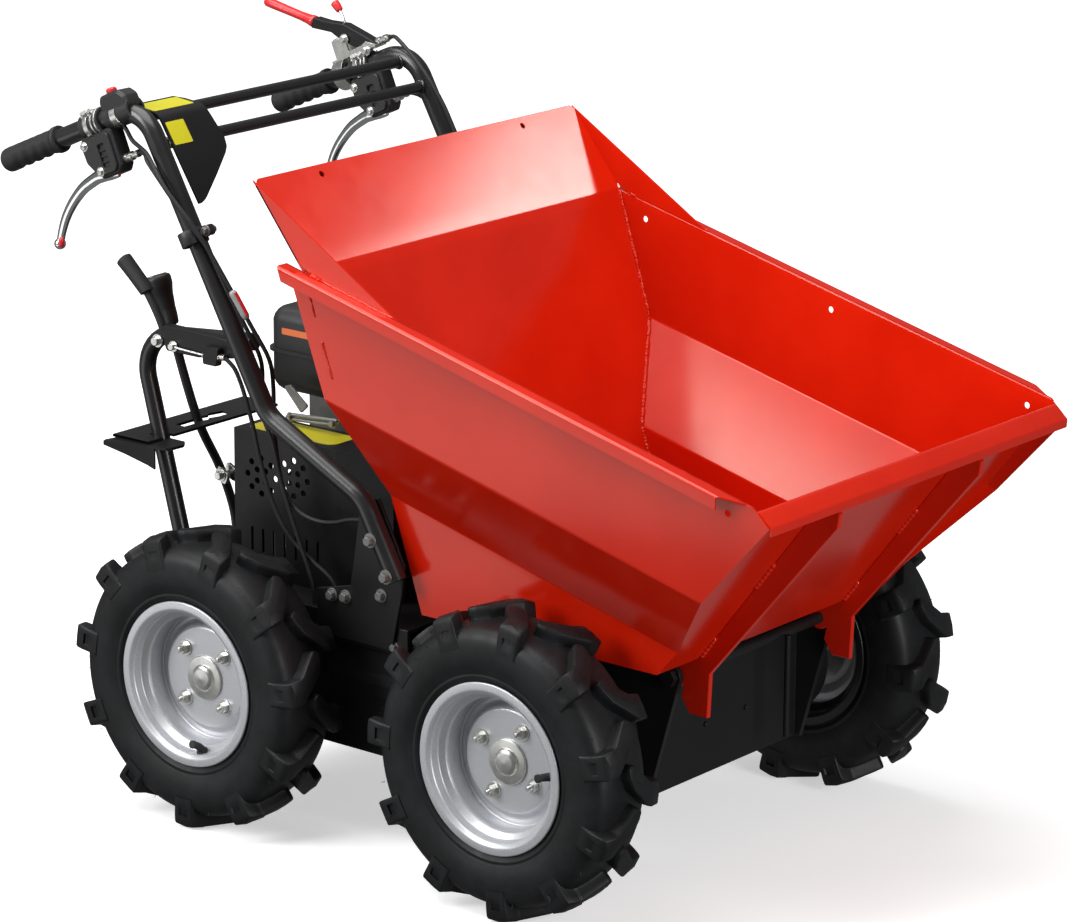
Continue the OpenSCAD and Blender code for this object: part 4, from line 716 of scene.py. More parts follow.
# Six-sided nut or bolt head: the radius follows a hexagon round the axis, and a chamfer trims its corners
def hexHead(centre, axis, across, high, washer=0.0, stud=0.0):
    axis = unit(floats(axis))
    angle = fullTurn(48)
    flat = across / 2 / np.cos((angle % (np.pi / 3)) - np.pi / 6)
    rings = [(flat, 0), (flat, high * 0.84), (np.minimum(flat, across * 0.52), high * 0.93),
             (np.minimum(flat, across * 0.47), high), (np.full(48, across * 0.01), high)]
    spoke = spokes(axis, 48)
    points = np.stack([floats(centre) + axis * (h + washer) + spoke * r[:, None] for r, h in rings])
    parts = [grid(points, closeCols=True, caps=True)]
    if washer:
        w = across * 0.86
        profile = [(0.2, 0), (w, 0), (w, washer * 0.6), (w * 0.96, washer), (0.2, washer)]
        parts.append(turnedAbout(profile, centre, axis, 32))
    if stud:  # threaded end: the radius waves along the axis
        along = np.linspace(0, stud, 41)
        r = across * 0.29 + across * 0.018 * np.cos(along / 1.5 * 2 * np.pi)
        top = stud + washer + high
        thread = np.stack([r, along + washer + high], -1)
        profile = np.vstack([thread, [(across * 0.2, top + 0.8), (0.01, top + 0.9)]])
        parts.append(turnedAbout(profile, centre, axis, 24))
    return parts


def boltHeads(places, axis=(0, -1, 0)):
    return [part for where, wide in places for part in hexHead(where, axis, wide, wide * 0.6, washer=1.8)]


# Wheels: r is the distance from the axle and a the distance out from the tyre's middle
wheel = {"radius": 205, "crown": 189.0, "track": 334, "at": {"front": 265, "rear": -265}, "lugs": 11,
         "pitchShift": 0.5, "lugEnd": 52.4, "lugDent": 2.6, "hairs": 70, "studCircle": 50,
         "turn": {"front": 13.4, "rear": 7.5}, "studTurn": {"front": 62, "rear": 45},
         "valveTurn": {"front": 5, "rear": -80}}
carcass = flowing([(101, 41.6), (108, 42.0), (116, 42.4), (119.5, 44.6), (122.5, 46.6), (126, 46.2),
                   (130, 47.6), (140, 50.4), (152, 51.6), (165, 51.0), (175, 48.2), (183, 41.5), (187, 30),
                   (188.6, 15), (189, 0)], 4)
carcass = np.vstack([carcass, carcass[-2::-1] * [1, -1]])
lugOutline = [(22, -8), (30, -12), (42, -14), (50, -2), (20, 30), (17.5, 52.6), (8.6, 52.8), (7.2, 52.8),
              (-7.2, 52.8), (-8.6, 52.8), (-17.5, 52.6), (-14, 30), (14, -4), (22, -8)]
lugCurve = rounded(lugOutline, [6, 6, 7, 10, 3, 0, 0, 0, 0, 3, 10, 8], 4)[:-1]
lugSteps = ((0, -2.5, 0), (0.16, -0.6, 0), (0.36, 0, 0), (0.40, 0.1, 1), (0.66, 0.5, 1), (0.70, 0.55, 0),
            (0.90, 1.2, 0), (0.97, 1.9, 0), (1.0, 3.2, 0))  # share of the climb, inset, dent in the outer end


def lugFoot(a):
    return np.interp(np.abs(a), [0, 20, 36, 46, 53], [186, 185.5, 181, 172, 160])


def lugTop(a):
    return wheel["radius"] - 8.5 * np.clip((np.abs(a) - 42) / 10.5, 0, 1) ** 2.2


# One lug: its outline climbs from the carcass to the tread in rings, the last drawn in to its middle line
def lugRings():
    rings = []
    outerEnd = (np.abs(lugCurve[:, 0]) < 8) & (lugCurve[:, 1] > 52)
    for share, inset, dent in lugSteps:
        loop = lugCurve + inwardOf(lugCurve)[0] * inset
        a = np.minimum(loop[:, 1] - wheel["lugDent"] * dent * outerEnd, wheel["lugEnd"])
        rings.append(np.stack([loop[:, 0], a, lugFoot(a) + share * (lugTop(a) - lugFoot(a))], -1))
    a = np.clip(lugCurve[:, 1], -9, 46)
    rings.append(np.stack([np.interp(a, [-13, -3, 30, 53], [38, 31, 3, 0]), a, lugTop(a) + 0.15], -1))
    return np.stack(rings)


def wheelPoint(centre, side, angle, a, r):
    angle, a, r = np.broadcast_arrays(angle, a, r)
    return np.stack([centre[0] + r * np.cos(angle), centre[1] + side * a, centre[2] + r * np.sin(angle)], -1)


# Faces of one form repeated for each of its copies, which have count points each
def repeated(faces, copies, count):
    return (faces + np.arange(copies)[:, None, None] * count).reshape(-1, faces.shape[1])


def tyreParts(centre, side, turn):
    parts = [grid(wheelPoint(centre, side, fullTurn(132), carcass[:, 1:], carcass[:, :1]), closeCols=True)]
    rings = lugRings()
    rows, cols = rings.shape[:2]
    for flip, shift in ((1, 0.0), (-1, wheel["pitchShift"])):
        starts = turn + (np.arange(wheel["lugs"]) + shift) * 2 * np.pi / wheel["lugs"]
        where = starts[:, None, None] + rings[..., 0] / wheel["crown"]
        points = wheelPoint(centre, side, where, flip * rings[..., 1], rings[..., 2])
        faces = repeated(gridQuads(rows, cols, closeCols=True), wheel["lugs"], rows * cols)
        parts.append((placed(points).reshape(-1, 3), [faces]))
    return parts + [hairParts(centre, side)]


# Moulding hairs: thin tapered stalks of four sides that stand out of the shoulder
def hairParts(centre, side):
    dice = np.random.default_rng(11)
    n = wheel["hairs"]
    angle = dice.uniform(0, 2 * np.pi, (n, 1, 1))
    out = np.where(dice.uniform(0, 1, (n, 1, 1)) < 0.75, 1, -1)
    r0, a0 = dice.uniform(166, 186, (n, 1, 1)), out * dice.uniform(40, 50, (n, 1, 1))
    long = dice.uniform(4, 8, (n, 1, 1))
    share, thick = (np.array(v)[:, None] for v in ([0.0, 0.6, 1.0], [0.55, 0.4, 0.12]))
    around = np.array([0, 0.5, 1, 1.5]) * np.pi
    r = r0 + share * (long * 0.75) + thick * np.cos(around)
    a = a0 + share * (out * long * 0.55)
    points = wheelPoint(centre, side, angle + (thick * np.sin(around)) / 180, a, r)
    faces = [gridQuads(3, 4, closeCols=True), np.array([[8, 9, 10, 11]])]  # the sides and the tip
    return placed(points).reshape(-1, 3), [repeated(f, n, 12) for f in faces]


# Rim: the barrel's face runs in from its outer edge and out again, each half the other's mirror image
faceHalf = [(112.8, 42.6), (115.2, 43.2), (115.0, 46.2), (104, 46.4), (98.6, 42), (98.2, 29), (89.6, 24),
            (88.4, 20)]
faceRadii = [1.2, 2.0, 5, 4, 3, 3, 2]
backHalf = [(112.8, -42.2), (106, -42.2), (101.9, -39), (101.7, -27), (92.4, -22)]
barrelFace = rounded(faceHalf + [(r, -a) for r, a in faceHalf[::-1]], faceRadii + faceRadii[::-1], 6)
barrelBack = rounded(backHalf + [(r, -a) for r, a in backHalf[::-1]], 3, 4)
discCorners = [(27, 5.0), (69, 5.0), (73.2, 1.5), (76.5, -3.4), (80, -5.2), (88.8, -5.2)]
discFace = rounded(discCorners, [5, 6, 5, 3], 6)
discLoop = np.vstack([discFace, beside(discFace, -4.0)[::-1]])
hubCap = rounded([(0.05, 5), (30.5, 5), (30.5, 8.6), (18.4, 8.6), (18, 12.2), (13, 14.4), (0.05, 15.2)],
                 [0.4, 1.2, 1.0, 2.5, 9], 5)
hubBody = [(0.05, -60), (15, -60), (15, -42), (24, -42), (24, -8), (61, -8), (61, 1), (0.05, 1)]
valveRoute = [(97.5, 31), (93, 33), (88.5, 37), (84.5, 43), (82, 49.5)]


def rimParts(centre, side):
    axis = (0, side, 0)
    turn = np.linspace(0, 2 * np.pi, 260)  # bead where the disc meets the barrel, rippled along its run
    ripple = 1.9 + 0.35 * np.abs(np.sin(turn * 60))
    bead = tube(wheelPoint(centre, side, turn, -4.4, 87.6), ripple, 8, side=axis)
    return [turnedAbout(np.vstack([barrelFace, barrelBack]), centre, axis, 120, closed=True),
            turnedAbout(discLoop, centre, axis, 120, closed=True), bead]


def hubParts(centre, side, end):
    axis = (0, side, 0)
    parts = [turnedAbout(hubCap, centre, axis, 64), turnedAbout(hubBody, centre, axis, 48)]
    for k in range(4):
        spin = math.radians(wheel["studTurn"][end] + 90 * k)
        seat = wheelPoint(centre, side, spin, 5.0, wheel["studCircle"])
        parts += hexHead(seat, axis, 13.0, 8.0, washer=1.8, stud=5.0)
    return parts


def valveParts(centre, side, spin):
    path = flowing([wheelPoint(centre, side, spin, a, r) for r, a in valveRoute], 5)
    thick = swelling(path, [0, 0.15, 0.3, 0.8, 0.82, 1], [8.4, 7.8, 5.8, 4.8, 5.8, 5.4])
    return [tube(path, thick, 20, side=(math.cos(spin), 0, math.sin(spin)))]


for end, along in wheel["at"].items():
    turn, valveTurn = math.radians(wheel["turn"][end]), math.radians(wheel["valveTurn"][end])
    for side, sideName in bothSides:
        tag = end + "_" + sideName
        centre = (along, side * wheel["track"], wheel["radius"])
        body = "wheel_" + tag
        piece("tyre." + tag, tyreParts(centre, side, turn), tyreRubber, ["tyre_" + tag], body, sharp=38)
        piece("rim." + tag, rimParts(centre, side), silverPaint, ["rim_" + tag], body, sharp=50)
        piece("hub." + tag, hubParts(centre, side, end), zincPlate, ["hub_" + tag], body, sharp=30)
        piece("valve." + tag, valveParts(centre, side, valveTurn), gripRubber, (), body, sharp=40)
print("wheels built")

# Handles: bent tubes, cross bars, grips and the controls clamped along the straight run
handle = {"grip": (-682, 851), "rise": 0.4327, "tube": 13.5, "half": 276.8, "start": 6, "topX": -424,
          "mid": (-202, 570), "low": (-33, 486), "end": (24, 384), "bends": [50, 60, 60],
          "bars": [(-437, 942), (-396, 911)], "barR": 8, "beadR": 8.6, "grooves": 4, "controlX": -535}
lean = math.atan(handle["rise"])
tubeAhead = np.array([math.cos(lean), 0, math.sin(lean)])
tubeUp = np.array([-math.sin(lean), 0, math.cos(lean)])


def onHandle(x):
    return (x, handle["grip"][1] + (x - handle["grip"][0]) * handle["rise"])


# From (distance along the handle, height off its middle) at the controls to the side view
def alongTube(points):
    p = floats(points)
    x0, z0 = onHandle(handle["controlX"])
    return np.stack([x0 + p[..., 0] * math.cos(lean) - p[..., 1] * math.sin(lean),
                     z0 + p[..., 0] * math.sin(lean) + p[..., 1] * math.cos(lean)], -1)


tubePath = rounded([onHandle(handle["grip"][0] + handle["start"]), onHandle(handle["topX"]), handle["mid"],
                    handle["low"], handle["end"]], handle["bends"], 16)
for side, sideName in bothSides:
    handleTube = tube(atY(tubePath, side * handle["half"]), handle["tube"], 36)
    piece("handleTube_" + sideName, [handleTube], tubePaint, ["handle_tube_" + sideName])
barParts = []
barHalf = handle["half"] - handle["tube"]
for x, z in handle["bars"]:
    barParts.append(tube([(x, -barHalf, z), (x, 0, z), (x, barHalf, z)], handle["barR"], 28, side=(1, 0, 0)))
    for side in (-1, 1):  # bead round the end of the bar, where it meets the round of the handle
        turn = np.linspace(0, 2 * np.pi, 60)
        ring = np.stack([x + handle["beadR"] * np.cos(turn), side * (barHalf + 1.5 - 2.2 * np.cos(turn) ** 2),
                         z + handle["beadR"] * np.sin(turn)], -1)
        barParts.append(tube(ring, 2.0 + 0.4 * np.abs(np.sin(turn * 9)), 8))
piece("crossBars", barParts, tubePaint, ["cross_bars"], sharp=40)


# Grip: radius about the handle's line, with finger grooves that deepen to the underside and fine ribs on top
def gripParts(side):
    far = [0, 0.4, 1.6, 3.5, 6, 104, 105.5, 107, 112.5, 113.6, 114]
    u = np.concatenate([far[:4], np.linspace(6, 104, 66), far[6:]])[:, None]
    plain = np.interp(u, far, [11, 13, 15.4, 16.6, 17, 17, 17.4, 19, 19, 18.4, 17])
    angle = fullTurn(48)
    groove = 0.5 - 0.5 * np.cos((u - 20) / 80 * 2 * np.pi * handle["grooves"])
    wave = np.where((u > 20) & (u < 100), groove, 0)
    below = np.clip(-np.sin(angle) + 0.25, 0, 1) ** 0.8
    rib = 0.35 * np.abs(np.sin(u * 1.15)) ** 6 * np.clip(np.sin(angle), 0, 1) * ((u > 12) & (u < 102))
    r = plain - 2.6 * wave * below + rib
    start = np.array([handle["grip"][0], side * handle["half"], handle["grip"][1]])
    spoke = np.cos(angle)[:, None] * np.array([0, 1, 0]) + np.sin(angle)[:, None] * tubeUp
    return [grid(start + u[..., None] * tubeAhead + r[..., None] * spoke, closeCols=True, caps=True)]


# Band round the handle: a ring of small thickness about its line
def band(side, u0, u1, r, thick=1.2):
    long, edge, out = u1 - u0, r + thick * 0.8, r + thick
    profile = [(r, 0), (edge, 0), (out, 0.5), (out, long - 0.5), (edge, long), (r, long)]
    return turnedAbout(profile, atY(alongTube((u0, 0)), side * handle["half"]), tubeAhead, 48, closed=True)


# Loop of points spread evenly along its length, from the corner nearest its lower left
def evenLoop(loop, count=64):
    loop = np.roll(loop, -int(np.argmin(loop.sum(1))), 0)
    ring = np.vstack([loop, loop[:1]])
    far = np.concatenate([[0], np.cumsum(np.linalg.norm(np.diff(ring, axis=0), axis=1))])
    at = np.linspace(0, far[-1], count, endpoint=False)
    return np.stack([np.interp(at, far, ring[:, k]) for k in range(2)], -1)


# Plate with a window: rings round its section, the outer ones on its edge and the inner ones on the window
def framed(outer, window, y0, y1, ease=1.2):
    small, wide = outer + (outer.mean(0) - outer) * 0.04, window + (window - window.mean(0)) * 0.10
    middle = y1 - math.copysign(ease, y1 - y0)
    rings = [(window, y0), (window, middle), (wide, y1), (small, y1), (outer, middle), (outer, y0)]
    return grid(np.stack([atY(loop, y) for loop, y in rings]), closeRows=True, closeCols=True)


# Steering clutch: u runs along the handle and w off its middle; screws are (u, side), pins (u, w) and the
# adjuster's steps (u from, u to, radius)
housing = {"outline": [(0, -12), (2, -50), (20, -75), (54, -75), (62, -66), (62, -12)],
           "cheek": [(1, -17), (3, -48), (19, -71), (52, -71), (57, -64), (57, -17)],
           "pocket": [(31, -30), (31, -62), (45, -62), (45, -30)], "louvres": (-38, -46, -54),
           "bands": ((20, 28, 18.2, 2.2), (34, 37, 18.2, 1.6), (41, 44, 18.2, 1.6)),
           "screws": ((22, -1), (27, -1), (36, -1), (24, 1), (38, 1)), "pins": ((8, -25), (24, -65)),
           "adjuster": ((60, 65, 6.5), (65, 72, 5.0), (72, 76, 6.4), (76, 84, 4.6), (84, 88, 5.4))}
lever = {"run": [(40, -75), (16, -70), (2, -68), (-14, -70), (-36, -75), (-62, -87), (-84, -102),
                 (-101, -119), (-110, -131)],
         "end": (-112, -133), "tip": [(6.4, -3.2, 11), (6.6, -3.6, 4), (5.0, -3.4, -3)],
         "ball": [(0.05, -8.4), (4.6, -7.2), (7.4, -4.2), (8.4, 0), (7.4, 4.2), (4.6, 7.2), (0.05, 8.4)]}
for side, sideName in bothSides:
    y = side * handle["half"]
    piece("grip_" + sideName, gripParts(side), gripRubber, ["grip_" + sideName], sharp=50)
    shell = alongTube(roundedLoop(housing["outline"], 6, 6))
    cheek = alongTube(evenLoop(roundedLoop(housing["cheek"], 5, 5)))
    pocket = alongTube(evenLoop(roundedLoop(housing["pocket"], 3, 5)))
    parts = [plate(shell, y - 13.0, y + 13.0, 2.0), band(side, 8, 46, 13.6, 4.6)]
    parts += [framed(cheek, pocket, y + face * 12.4, y + face * 17.0) for face in (-1, 1)]
    for w in housing["louvres"]:
        louvre = roundedLoop([(31.5, w - 1.6), (44.5, w - 1.6), (44.5, w + 1.6), (31.5, w + 1.6)], 1.0, 3)
        parts.append(plate(alongTube(louvre), y - 15.2, y + 15.2, 0.6))
    piece("steeringHousing_" + sideName, parts, blackPlastic, ["steering_housing_" + sideName], sharp=30)

    parts = [band(side, *ring) for ring in housing["bands"]]
    for u, face in housing["screws"]:
        parts += hexHead(atY(alongTube((u, 15)), y + face * 12.5), (0, face * 0.8, 0.6), 7.0, 5.0, washer=1.2)
    for pin in housing["pins"]:
        for face in (-1, 1):
            parts += hexHead(atY(alongTube(pin), y + face * 16.8), (0, face, 0), 8.0, 3.0, washer=1.0)
    for u0, u1, r in housing["adjuster"]:
        parts.append(roundBar(atY(alongTube((u0, -58.5)), y), tubeAhead, r, u1 - u0))
    piece("clampFittings_" + sideName, parts, zincPlate, sharp=30)

    run = flowing(lever["run"], 6)
    thick = swelling(run, [0, 0.08, 0.2, 0.5, 0.9, 1], [4, 7.4, 9.4, 8.4, 6.4, 6.2])
    leverEnd = atY(alongTube(lever["end"]), y)
    ball = turnedAbout(rounded(lever["ball"], 6, 4), leverEnd, (0, 1, 0), 32)
    parts = [tube(atY(alongTube(run), y), thick, 28, flat=0.78), ball]
    piece("steeringLever_" + sideName, parts, chromePlate, ["steering_lever_" + sideName], sharp=50)
    tip = flowing(leverEnd + lever["tip"], 6)
    tipThick = swelling(tip, [0, 0.3, 0.8, 1], [1.4, 4.2, 4.4, 2.0])
    piece("leverTip_" + sideName, [tube(tip, tipThick, 20)], redVinyl, sharp=60)

switch = {"outline": [(56, 2), (56, 22), (60, 30), (82, 31), (98, 30), (108, 20), (110, 2)], "half": 15.5,
          "button": (74, 30), "knob": [(0.05, 0), (7.5, 0), (7.5, 5.5), (5.5, 7.6), (0.05, 8.2)]}
switchY = -handle["half"]
switchLoop = alongTube(roundedLoop(switch["outline"], 9, 8))
switchParts = [plate(switchLoop, switchY - switch["half"], switchY + switch["half"], 4.5),
               band(-1, 58, 70, 13.6, 4.6), band(-1, 84, 108, 13.6, 4.0)]
piece("stopSwitch", switchParts, blackPlastic, ["engine_switch"], sharp=30)
piece("switchClamp", [band(-1, 71, 83, 13.8, 3.6)], zincPlate, sharp=40)
buttonAt = atY(alongTube(switch["button"]), switchY)
button = turnedAbout(rounded(switch["knob"], [0.5, 1.8, 4], 6), buttonAt, tubeUp, 40)
piece("stopButton", [button], redVinyl, sharp=40)

# Clutch lever on the left: sleeve that thickens to a rounded tip, and the small lock lever
sleeveA, sleeveB = np.array([-606, 276.8, 979.0]), np.array([-704, 276.8, 999.0])
sleeveShare = np.array([0, 0.01, 0.05, 0.12, 0.3, 0.6, 0.85, 0.95, 0.985, 1.0])[:, None]
sleeveThick = [7.6, 8.6, 8.8, 7.4, 6.4, 6.6, 7.0, 6.8, 5.2, 2.2]
sleeve = tube(sleeveA + (sleeveB - sleeveA) * sleeveShare, sleeveThick, 32, flat=1.15)
piece("clutchSleeve", [sleeve], redVinyl, ["clutch_lever"], sharp=50)
lockPath = flowing([(-551, 276.8, 984), (-551, 276.8, 987), (-557, 278.8, 995), (-562, 279.8, 1001)], 5)
piece("lockRod", [tube(lockPath, 2.1, 16)], zincPlate, sharp=50)
lockRun = [(-561, 1000), (-563.5, 1002.5), (-567.5, 1006.5), (-571, 1010), (-573, 1012)]
lockKnob = flowing(atY(lockRun, 279.8), 5)
lockThick = swelling(lockKnob, [0, 0.12, 0.5, 0.8, 0.94, 1], [3.4, 5.2, 6.2, 6.4, 4.8, 1.2])
piece("lockKnob", [tube(lockKnob, lockThick, 28)], redVinyl, ["lock_lever"], sharp=60)

# Control cables: round sheaths along the routes of the solids
sideOut = handle["half"] + handle["tube"] + 3.6
routes = {
    "right": [(-434, -276.8, 894.5), (-424, -279, 897.5), (-413, -284, 897), (-402, -291, 890),
              (-382, -sideOut, 873), (-359, -sideOut, 850), (-336, -sideOut, 828), (-318, -290, 806),
              (-300, -284, 783), (-270, -280, 731), (-246, -272, 685), (-232, -258, 640), (-234, -252, 600),
              (-236, -250, 560), (-218, -249, 520), (-208, -247, 476), (-196, -246, 440), (-178, -245, 395),
              (-160, -245, 355), (-152, -245, 330), (-150, -245, 311)],
    "switch": [(-466, -278, 941), (-459, -278, 932), (-452, -278, 924), (-441, -279, 912), (-424, -283, 906),
               (-404, -290, 900), (-384, -297, 885), (-360, -301, 861), (-336, -300, 838), (-316, -296, 816),
               (-292, -288, 780), (-262, -279, 730), (-236, -268, 682), (-220, -254, 640), (-222, -244, 600),
               (-224, -241, 540), (-216, -240, 480), (-204, -239, 450), (-180, -238, 430), (-150, -237, 424),
               (-120, -238, 428), (-90, -241, 438), (-60, -246, 444), (-46, -252, 446)],
    "latch": [(-298, -256, 629), (-284, -253.5, 617), (-274, -252, 598), (-264, -252, 574), (-252, -252, 540),
              (-243, -252, 506), (-232, -251, 470), (-222, -249, 442), (-206, -246, 410), (-186, -240, 384),
              (-158, -236, 364), (-132, -234, 348), (-118, -234, 330), (-114, -234, 311)],
    "left": [(-434, 276.8, 894.5), (-425, 279, 896.5), (-415, 284, 894), (-406, 291, 886),
             (-388, sideOut, 872), (-360, sideOut, 838), (-320, sideOut, 774), (-270, sideOut, 690),
             (-225, sideOut, 612), (-186, sideOut, 548), (-158, 291, 500), (-140, 285, 440),
             (-128, 278, 390), (-122, 272, 355), (-120, 268, 340)],
    "clutch": [(-481, 277, 967), (-466, 277, 973), (-452, 273, 976), (-438, 266, 974), (-420, 260, 966),
               (-400, 257, 953), (-375, 256, 930), (-347, 256, 895), (-327, 256, 862), (-296, 257, 806),
               (-262, 258, 742), (-240, 256, 690), (-222, 251, 640), (-214, 247, 590), (-208, 246, 520),
               (-204, 245, 450), (-198, 245, 390), (-192, 245, 340), (-192, 245, 311)]}
cables = [tube(flowing(route, 8), 3.0, 14) for route in routes.values()]
piece("controlCables", cables, gripRubber, ["control_cables"], sharp=60)

# Guard tube, latch lever and gear lever behind the engine
guardTubePath = rounded([(-414, 311), (-414, 356), (-488, 630), (-272, 650)], [40, 55], 14)
piece("guardTube", [tube(atY(guardTubePath, -225), 12, 32)], tubePaint, ["guard_tube"])
latchY = -246.6
latchRod = flowing([(-426, 633), (-421, 644), (-426, 658), (-438, 678), (-453, 699)], 6)
latchGrip = flowing([(-450, 695.5), (-453, 699), (-466, 711), (-484, 727), (-494, 735.5)], 8)
latchThick = swelling(latchGrip, [0, 0.04, 0.1, 0.5, 0.9, 0.97, 1], [8, 10.4, 10.2, 10.6, 11.4, 11.2, 9.6])
latchParts = [tube(atY(latchRod, latchY), 5.6, 24), tube(atY(latchGrip, latchY), latchThick, 32)]
piece("latchLever", latchParts, gripRubber, ["tip_lever"], sharp=50)
gearRod = flowing([(-430, -94, 311), (-434, -98, 360), (-446, -112, 420), (-463, -136, 488),
                   (-482, -155, 588), (-482, -168, 636)], 8)
piece("gearRod", [tube(gearRod, 6.5, 24)], tubePaint, sharp=50)
gearKnob = flowing([(-480.5, -167, 630), (-484, -168, 645), (-490, -170, 662), (-497, -172, 680),
                    (-503, -173, 697)], 8)
gearThick = swelling(gearKnob, [0, 0.06, 0.35, 0.6, 0.78, 0.9, 0.97, 1],
                     [8.5, 10, 11, 14.5, 18.6, 19.2, 17.6, 14.6])
piece("gearKnob", [tube(gearKnob, gearThick, 32)], blackPlastic, ["gear_lever"], sharp=50)
knobRing = turnedAbout([(12.4, 0), (13.8, 0), (13.8, 0.9), (12.4, 0.9)], gearKnob[-1], (-6, -1, 17), 40)
piece("gearKnobRing", [knobRing], zincPlate, sharp=40)
print("handles and controls built")

# Control panel: a sheet bent over the cross bars, its far edge following the outline of the bend
panel = {"path": [(-460, 955.7), (-408.1, 950.2), (-335.3, 838)], "bend": 24, "near": -262, "thick": 3,
         "far": ([838, 841, 867, 890, 897, 908, 927, 944, 954, 956],
                 [-256, -247, -206, -172, -165.5, -163, -167, -171, -172, -180])}
panelBend = rounded(panel["path"], panel["bend"], 9)
panelStart, panelStop = panelBend[:1], panelBend[-1:]
panelPath = dense(np.vstack([panelStart, panelStart + [3, -0.3], panelBend[1:-1], panelStop - [1.6, -2.5],
                             panelStop]), 4.0)
panelFar = np.interp(panelPath[:, 1], *panel["far"])[:, None]
panelY = panel["near"] + (panelFar - panel["near"]) * np.linspace(0, 1, 12)
panelPaths = (panelPath, beside(panelPath, -panel["thick"]))
panelFaces = [atY(np.repeat(p[:, None, :], 12, 1), panelY) for p in panelPaths]
piece("controlPanel", [slab(*panelFaces)], blackPaint, ["control_panel"], sharp=40)


# Plain film stuck on a flat face: a rounded outline along two sides of the face, raised by its thickness
def film(corner, sideA, sideB, radius=4.0, high=0.4):
    corner, sideA, sideB = (floats(v) for v in (corner, sideA, sideB))
    a, b = np.linalg.norm(sideA), np.linalg.norm(sideB)
    loop = roundedLoop([(0, 0), (a, 0), (a, b), (0, b)], radius, 6)
    flat = corner + loop[:, :1] * sideA / a + loop[:, 1:] * sideB / b
    return grid(np.stack([flat, flat + unit(np.cross(sideA, sideB)) * high]), closeCols=True, caps=True)


topDown, slopeDown = np.array([0.9945, 0, -0.1045]), np.array([0.5446, 0, -0.8387])
foldPoint = np.array([-408.1, 0, 950.2])
films = [film(foldPoint + topDown * -46 + [0, -258, 0.05], topDown * 35, (0, 78, 0)),
         film(foldPoint + slopeDown * 14 + [0.04, -258, 0.03], slopeDown * 34, (0, 35, 0), 2.0),
         film((-324, -188, 515.05), (156, 0, 0), (0, 54, 0), 14)]
piece("plainFilms", films, yellowFilm, sharp=30)
piece("tankFilm", [film((-327, -110.1, 630), (62, 0, 0), (0, 0, 9), 1.2)], orangeFilm, sharp=30)

# Bolts: heads on washers at the handle bracket, the latch lever, the clutch lever and the front plate
bracketBolts = [((-11, -289.6, 436), 11.8), ((16, -289.6, 391), 11.8), ((-102, -263, 337), 11),
                ((-78, -263, 339), 11), ((-15, -263, 353), 11), ((4, -258, 284), 9)]
piece("bracketBolts", boltHeads(bracketBolts), castMetal, sharp=30)
boltParts = boltHeads([((-426, -252.5, 632), 11), ((-499, 266, 951), 9), ((-541, 266, 963), 9)])
boltParts += hexHead((-396, -253, 629), (0, -1, 0), 9, 6, washer=1.4)
linkRod = [(-396, -256, 629), (-367, -256, 627.5), (-335, -256, 626.5)]  # from the latch lever to its cable
boltParts.append(tube(linkRod, 1.7, 14))
for x, r in ((-337, 4.6), (-329, 5.6), (-321, 4.8), (-313, 5.6), (-305, 4.4)):  # adjuster at the cable's stop
    boltParts.append(roundBar((x, -256, 626.6 + (x + 335) * 0.08), (1, 0, 0.08), r, 7.4))
for far, r in ((0, 6.0), (6, 4.6), (13, 6.0), (18, 4.2)):  # adjuster of the clutch cable
    boltParts.append(roundBar((-486 + far * 0.93, 277, 964.6 + far * 0.37), (0.93, 0, 0.37), r, 6))
piece("boltsAndAdjusters", boltParts, zincPlate, sharp=30)
frontBolts = hexHead((413, -30, 230), (1, 0, 0), 7, 3.5) + hexHead((413, -118, 230), (1, 0, 0), 7, 3.5)
piece("frontBolts", frontBolts, blackPaint, sharp=30)

# Plate along the top of the guard tube, with the tab that stops the latch cable and a boss on the tube
leverOutline = roundedLoop([(-411, 620), (-352, 620), (-316, 626), (-284, 629), (-292, 652), (-316, 654),
                            (-416, 655), (-424, 646)], 5, 5)
tabOutline = roundedLoop([(-335, 616), (-309, 616), (-305, 642), (-335, 640)], 3, 4)
leverParts = [plate(leverOutline, -252, -236, 1.0), plate(tabOutline, -262, -251, 1.0),
              roundBar((-426, -252, 632), (0, 1, 0), 7.5, 18)]
piece("leverPlate", leverParts, blackPaint, ["lever_plate"], sharp=30)

# Ledge under the gate's near end: a rounded plate, with a side that hangs from its near edge and tapers
gateLedge = {"outline": [(-501, -288), (-436, -268), (-400, -262), (-398, -234), (-408, -221), (-470, -221),
                         (-496, -262)],
             "radii": [3, 6, 9, 9, 6, 6, 6], "top": 485.8, "thick": 4, "foot": [479, 469, 457, 452],
             "near": [(-500, -287.4), (-468, -277.8), (-436, -268.0), (-424, -265.8)]}
ledge, ledgeTop = roundedLoop(gateLedge["outline"], gateLedge["radii"], 6), gateLedge["top"]
ledgeHeights = (ledgeTop - gateLedge["thick"], ledgeTop)
ledgeRings = [np.column_stack([ledge, np.full(len(ledge), z)]) for z in ledgeHeights]
hanging = [np.column_stack([gateLedge["near"], z]) for z in (np.full(4, ledgeTop - 1.0), gateLedge["foot"])]
hangingSide = slab(np.stack(hanging), np.stack(hanging) + [-1.1, 3.6, 0])
piece("gateLedge", [grid(np.stack(ledgeRings), closeCols=True, caps=True), hangingSide], blackPaint, sharp=30)

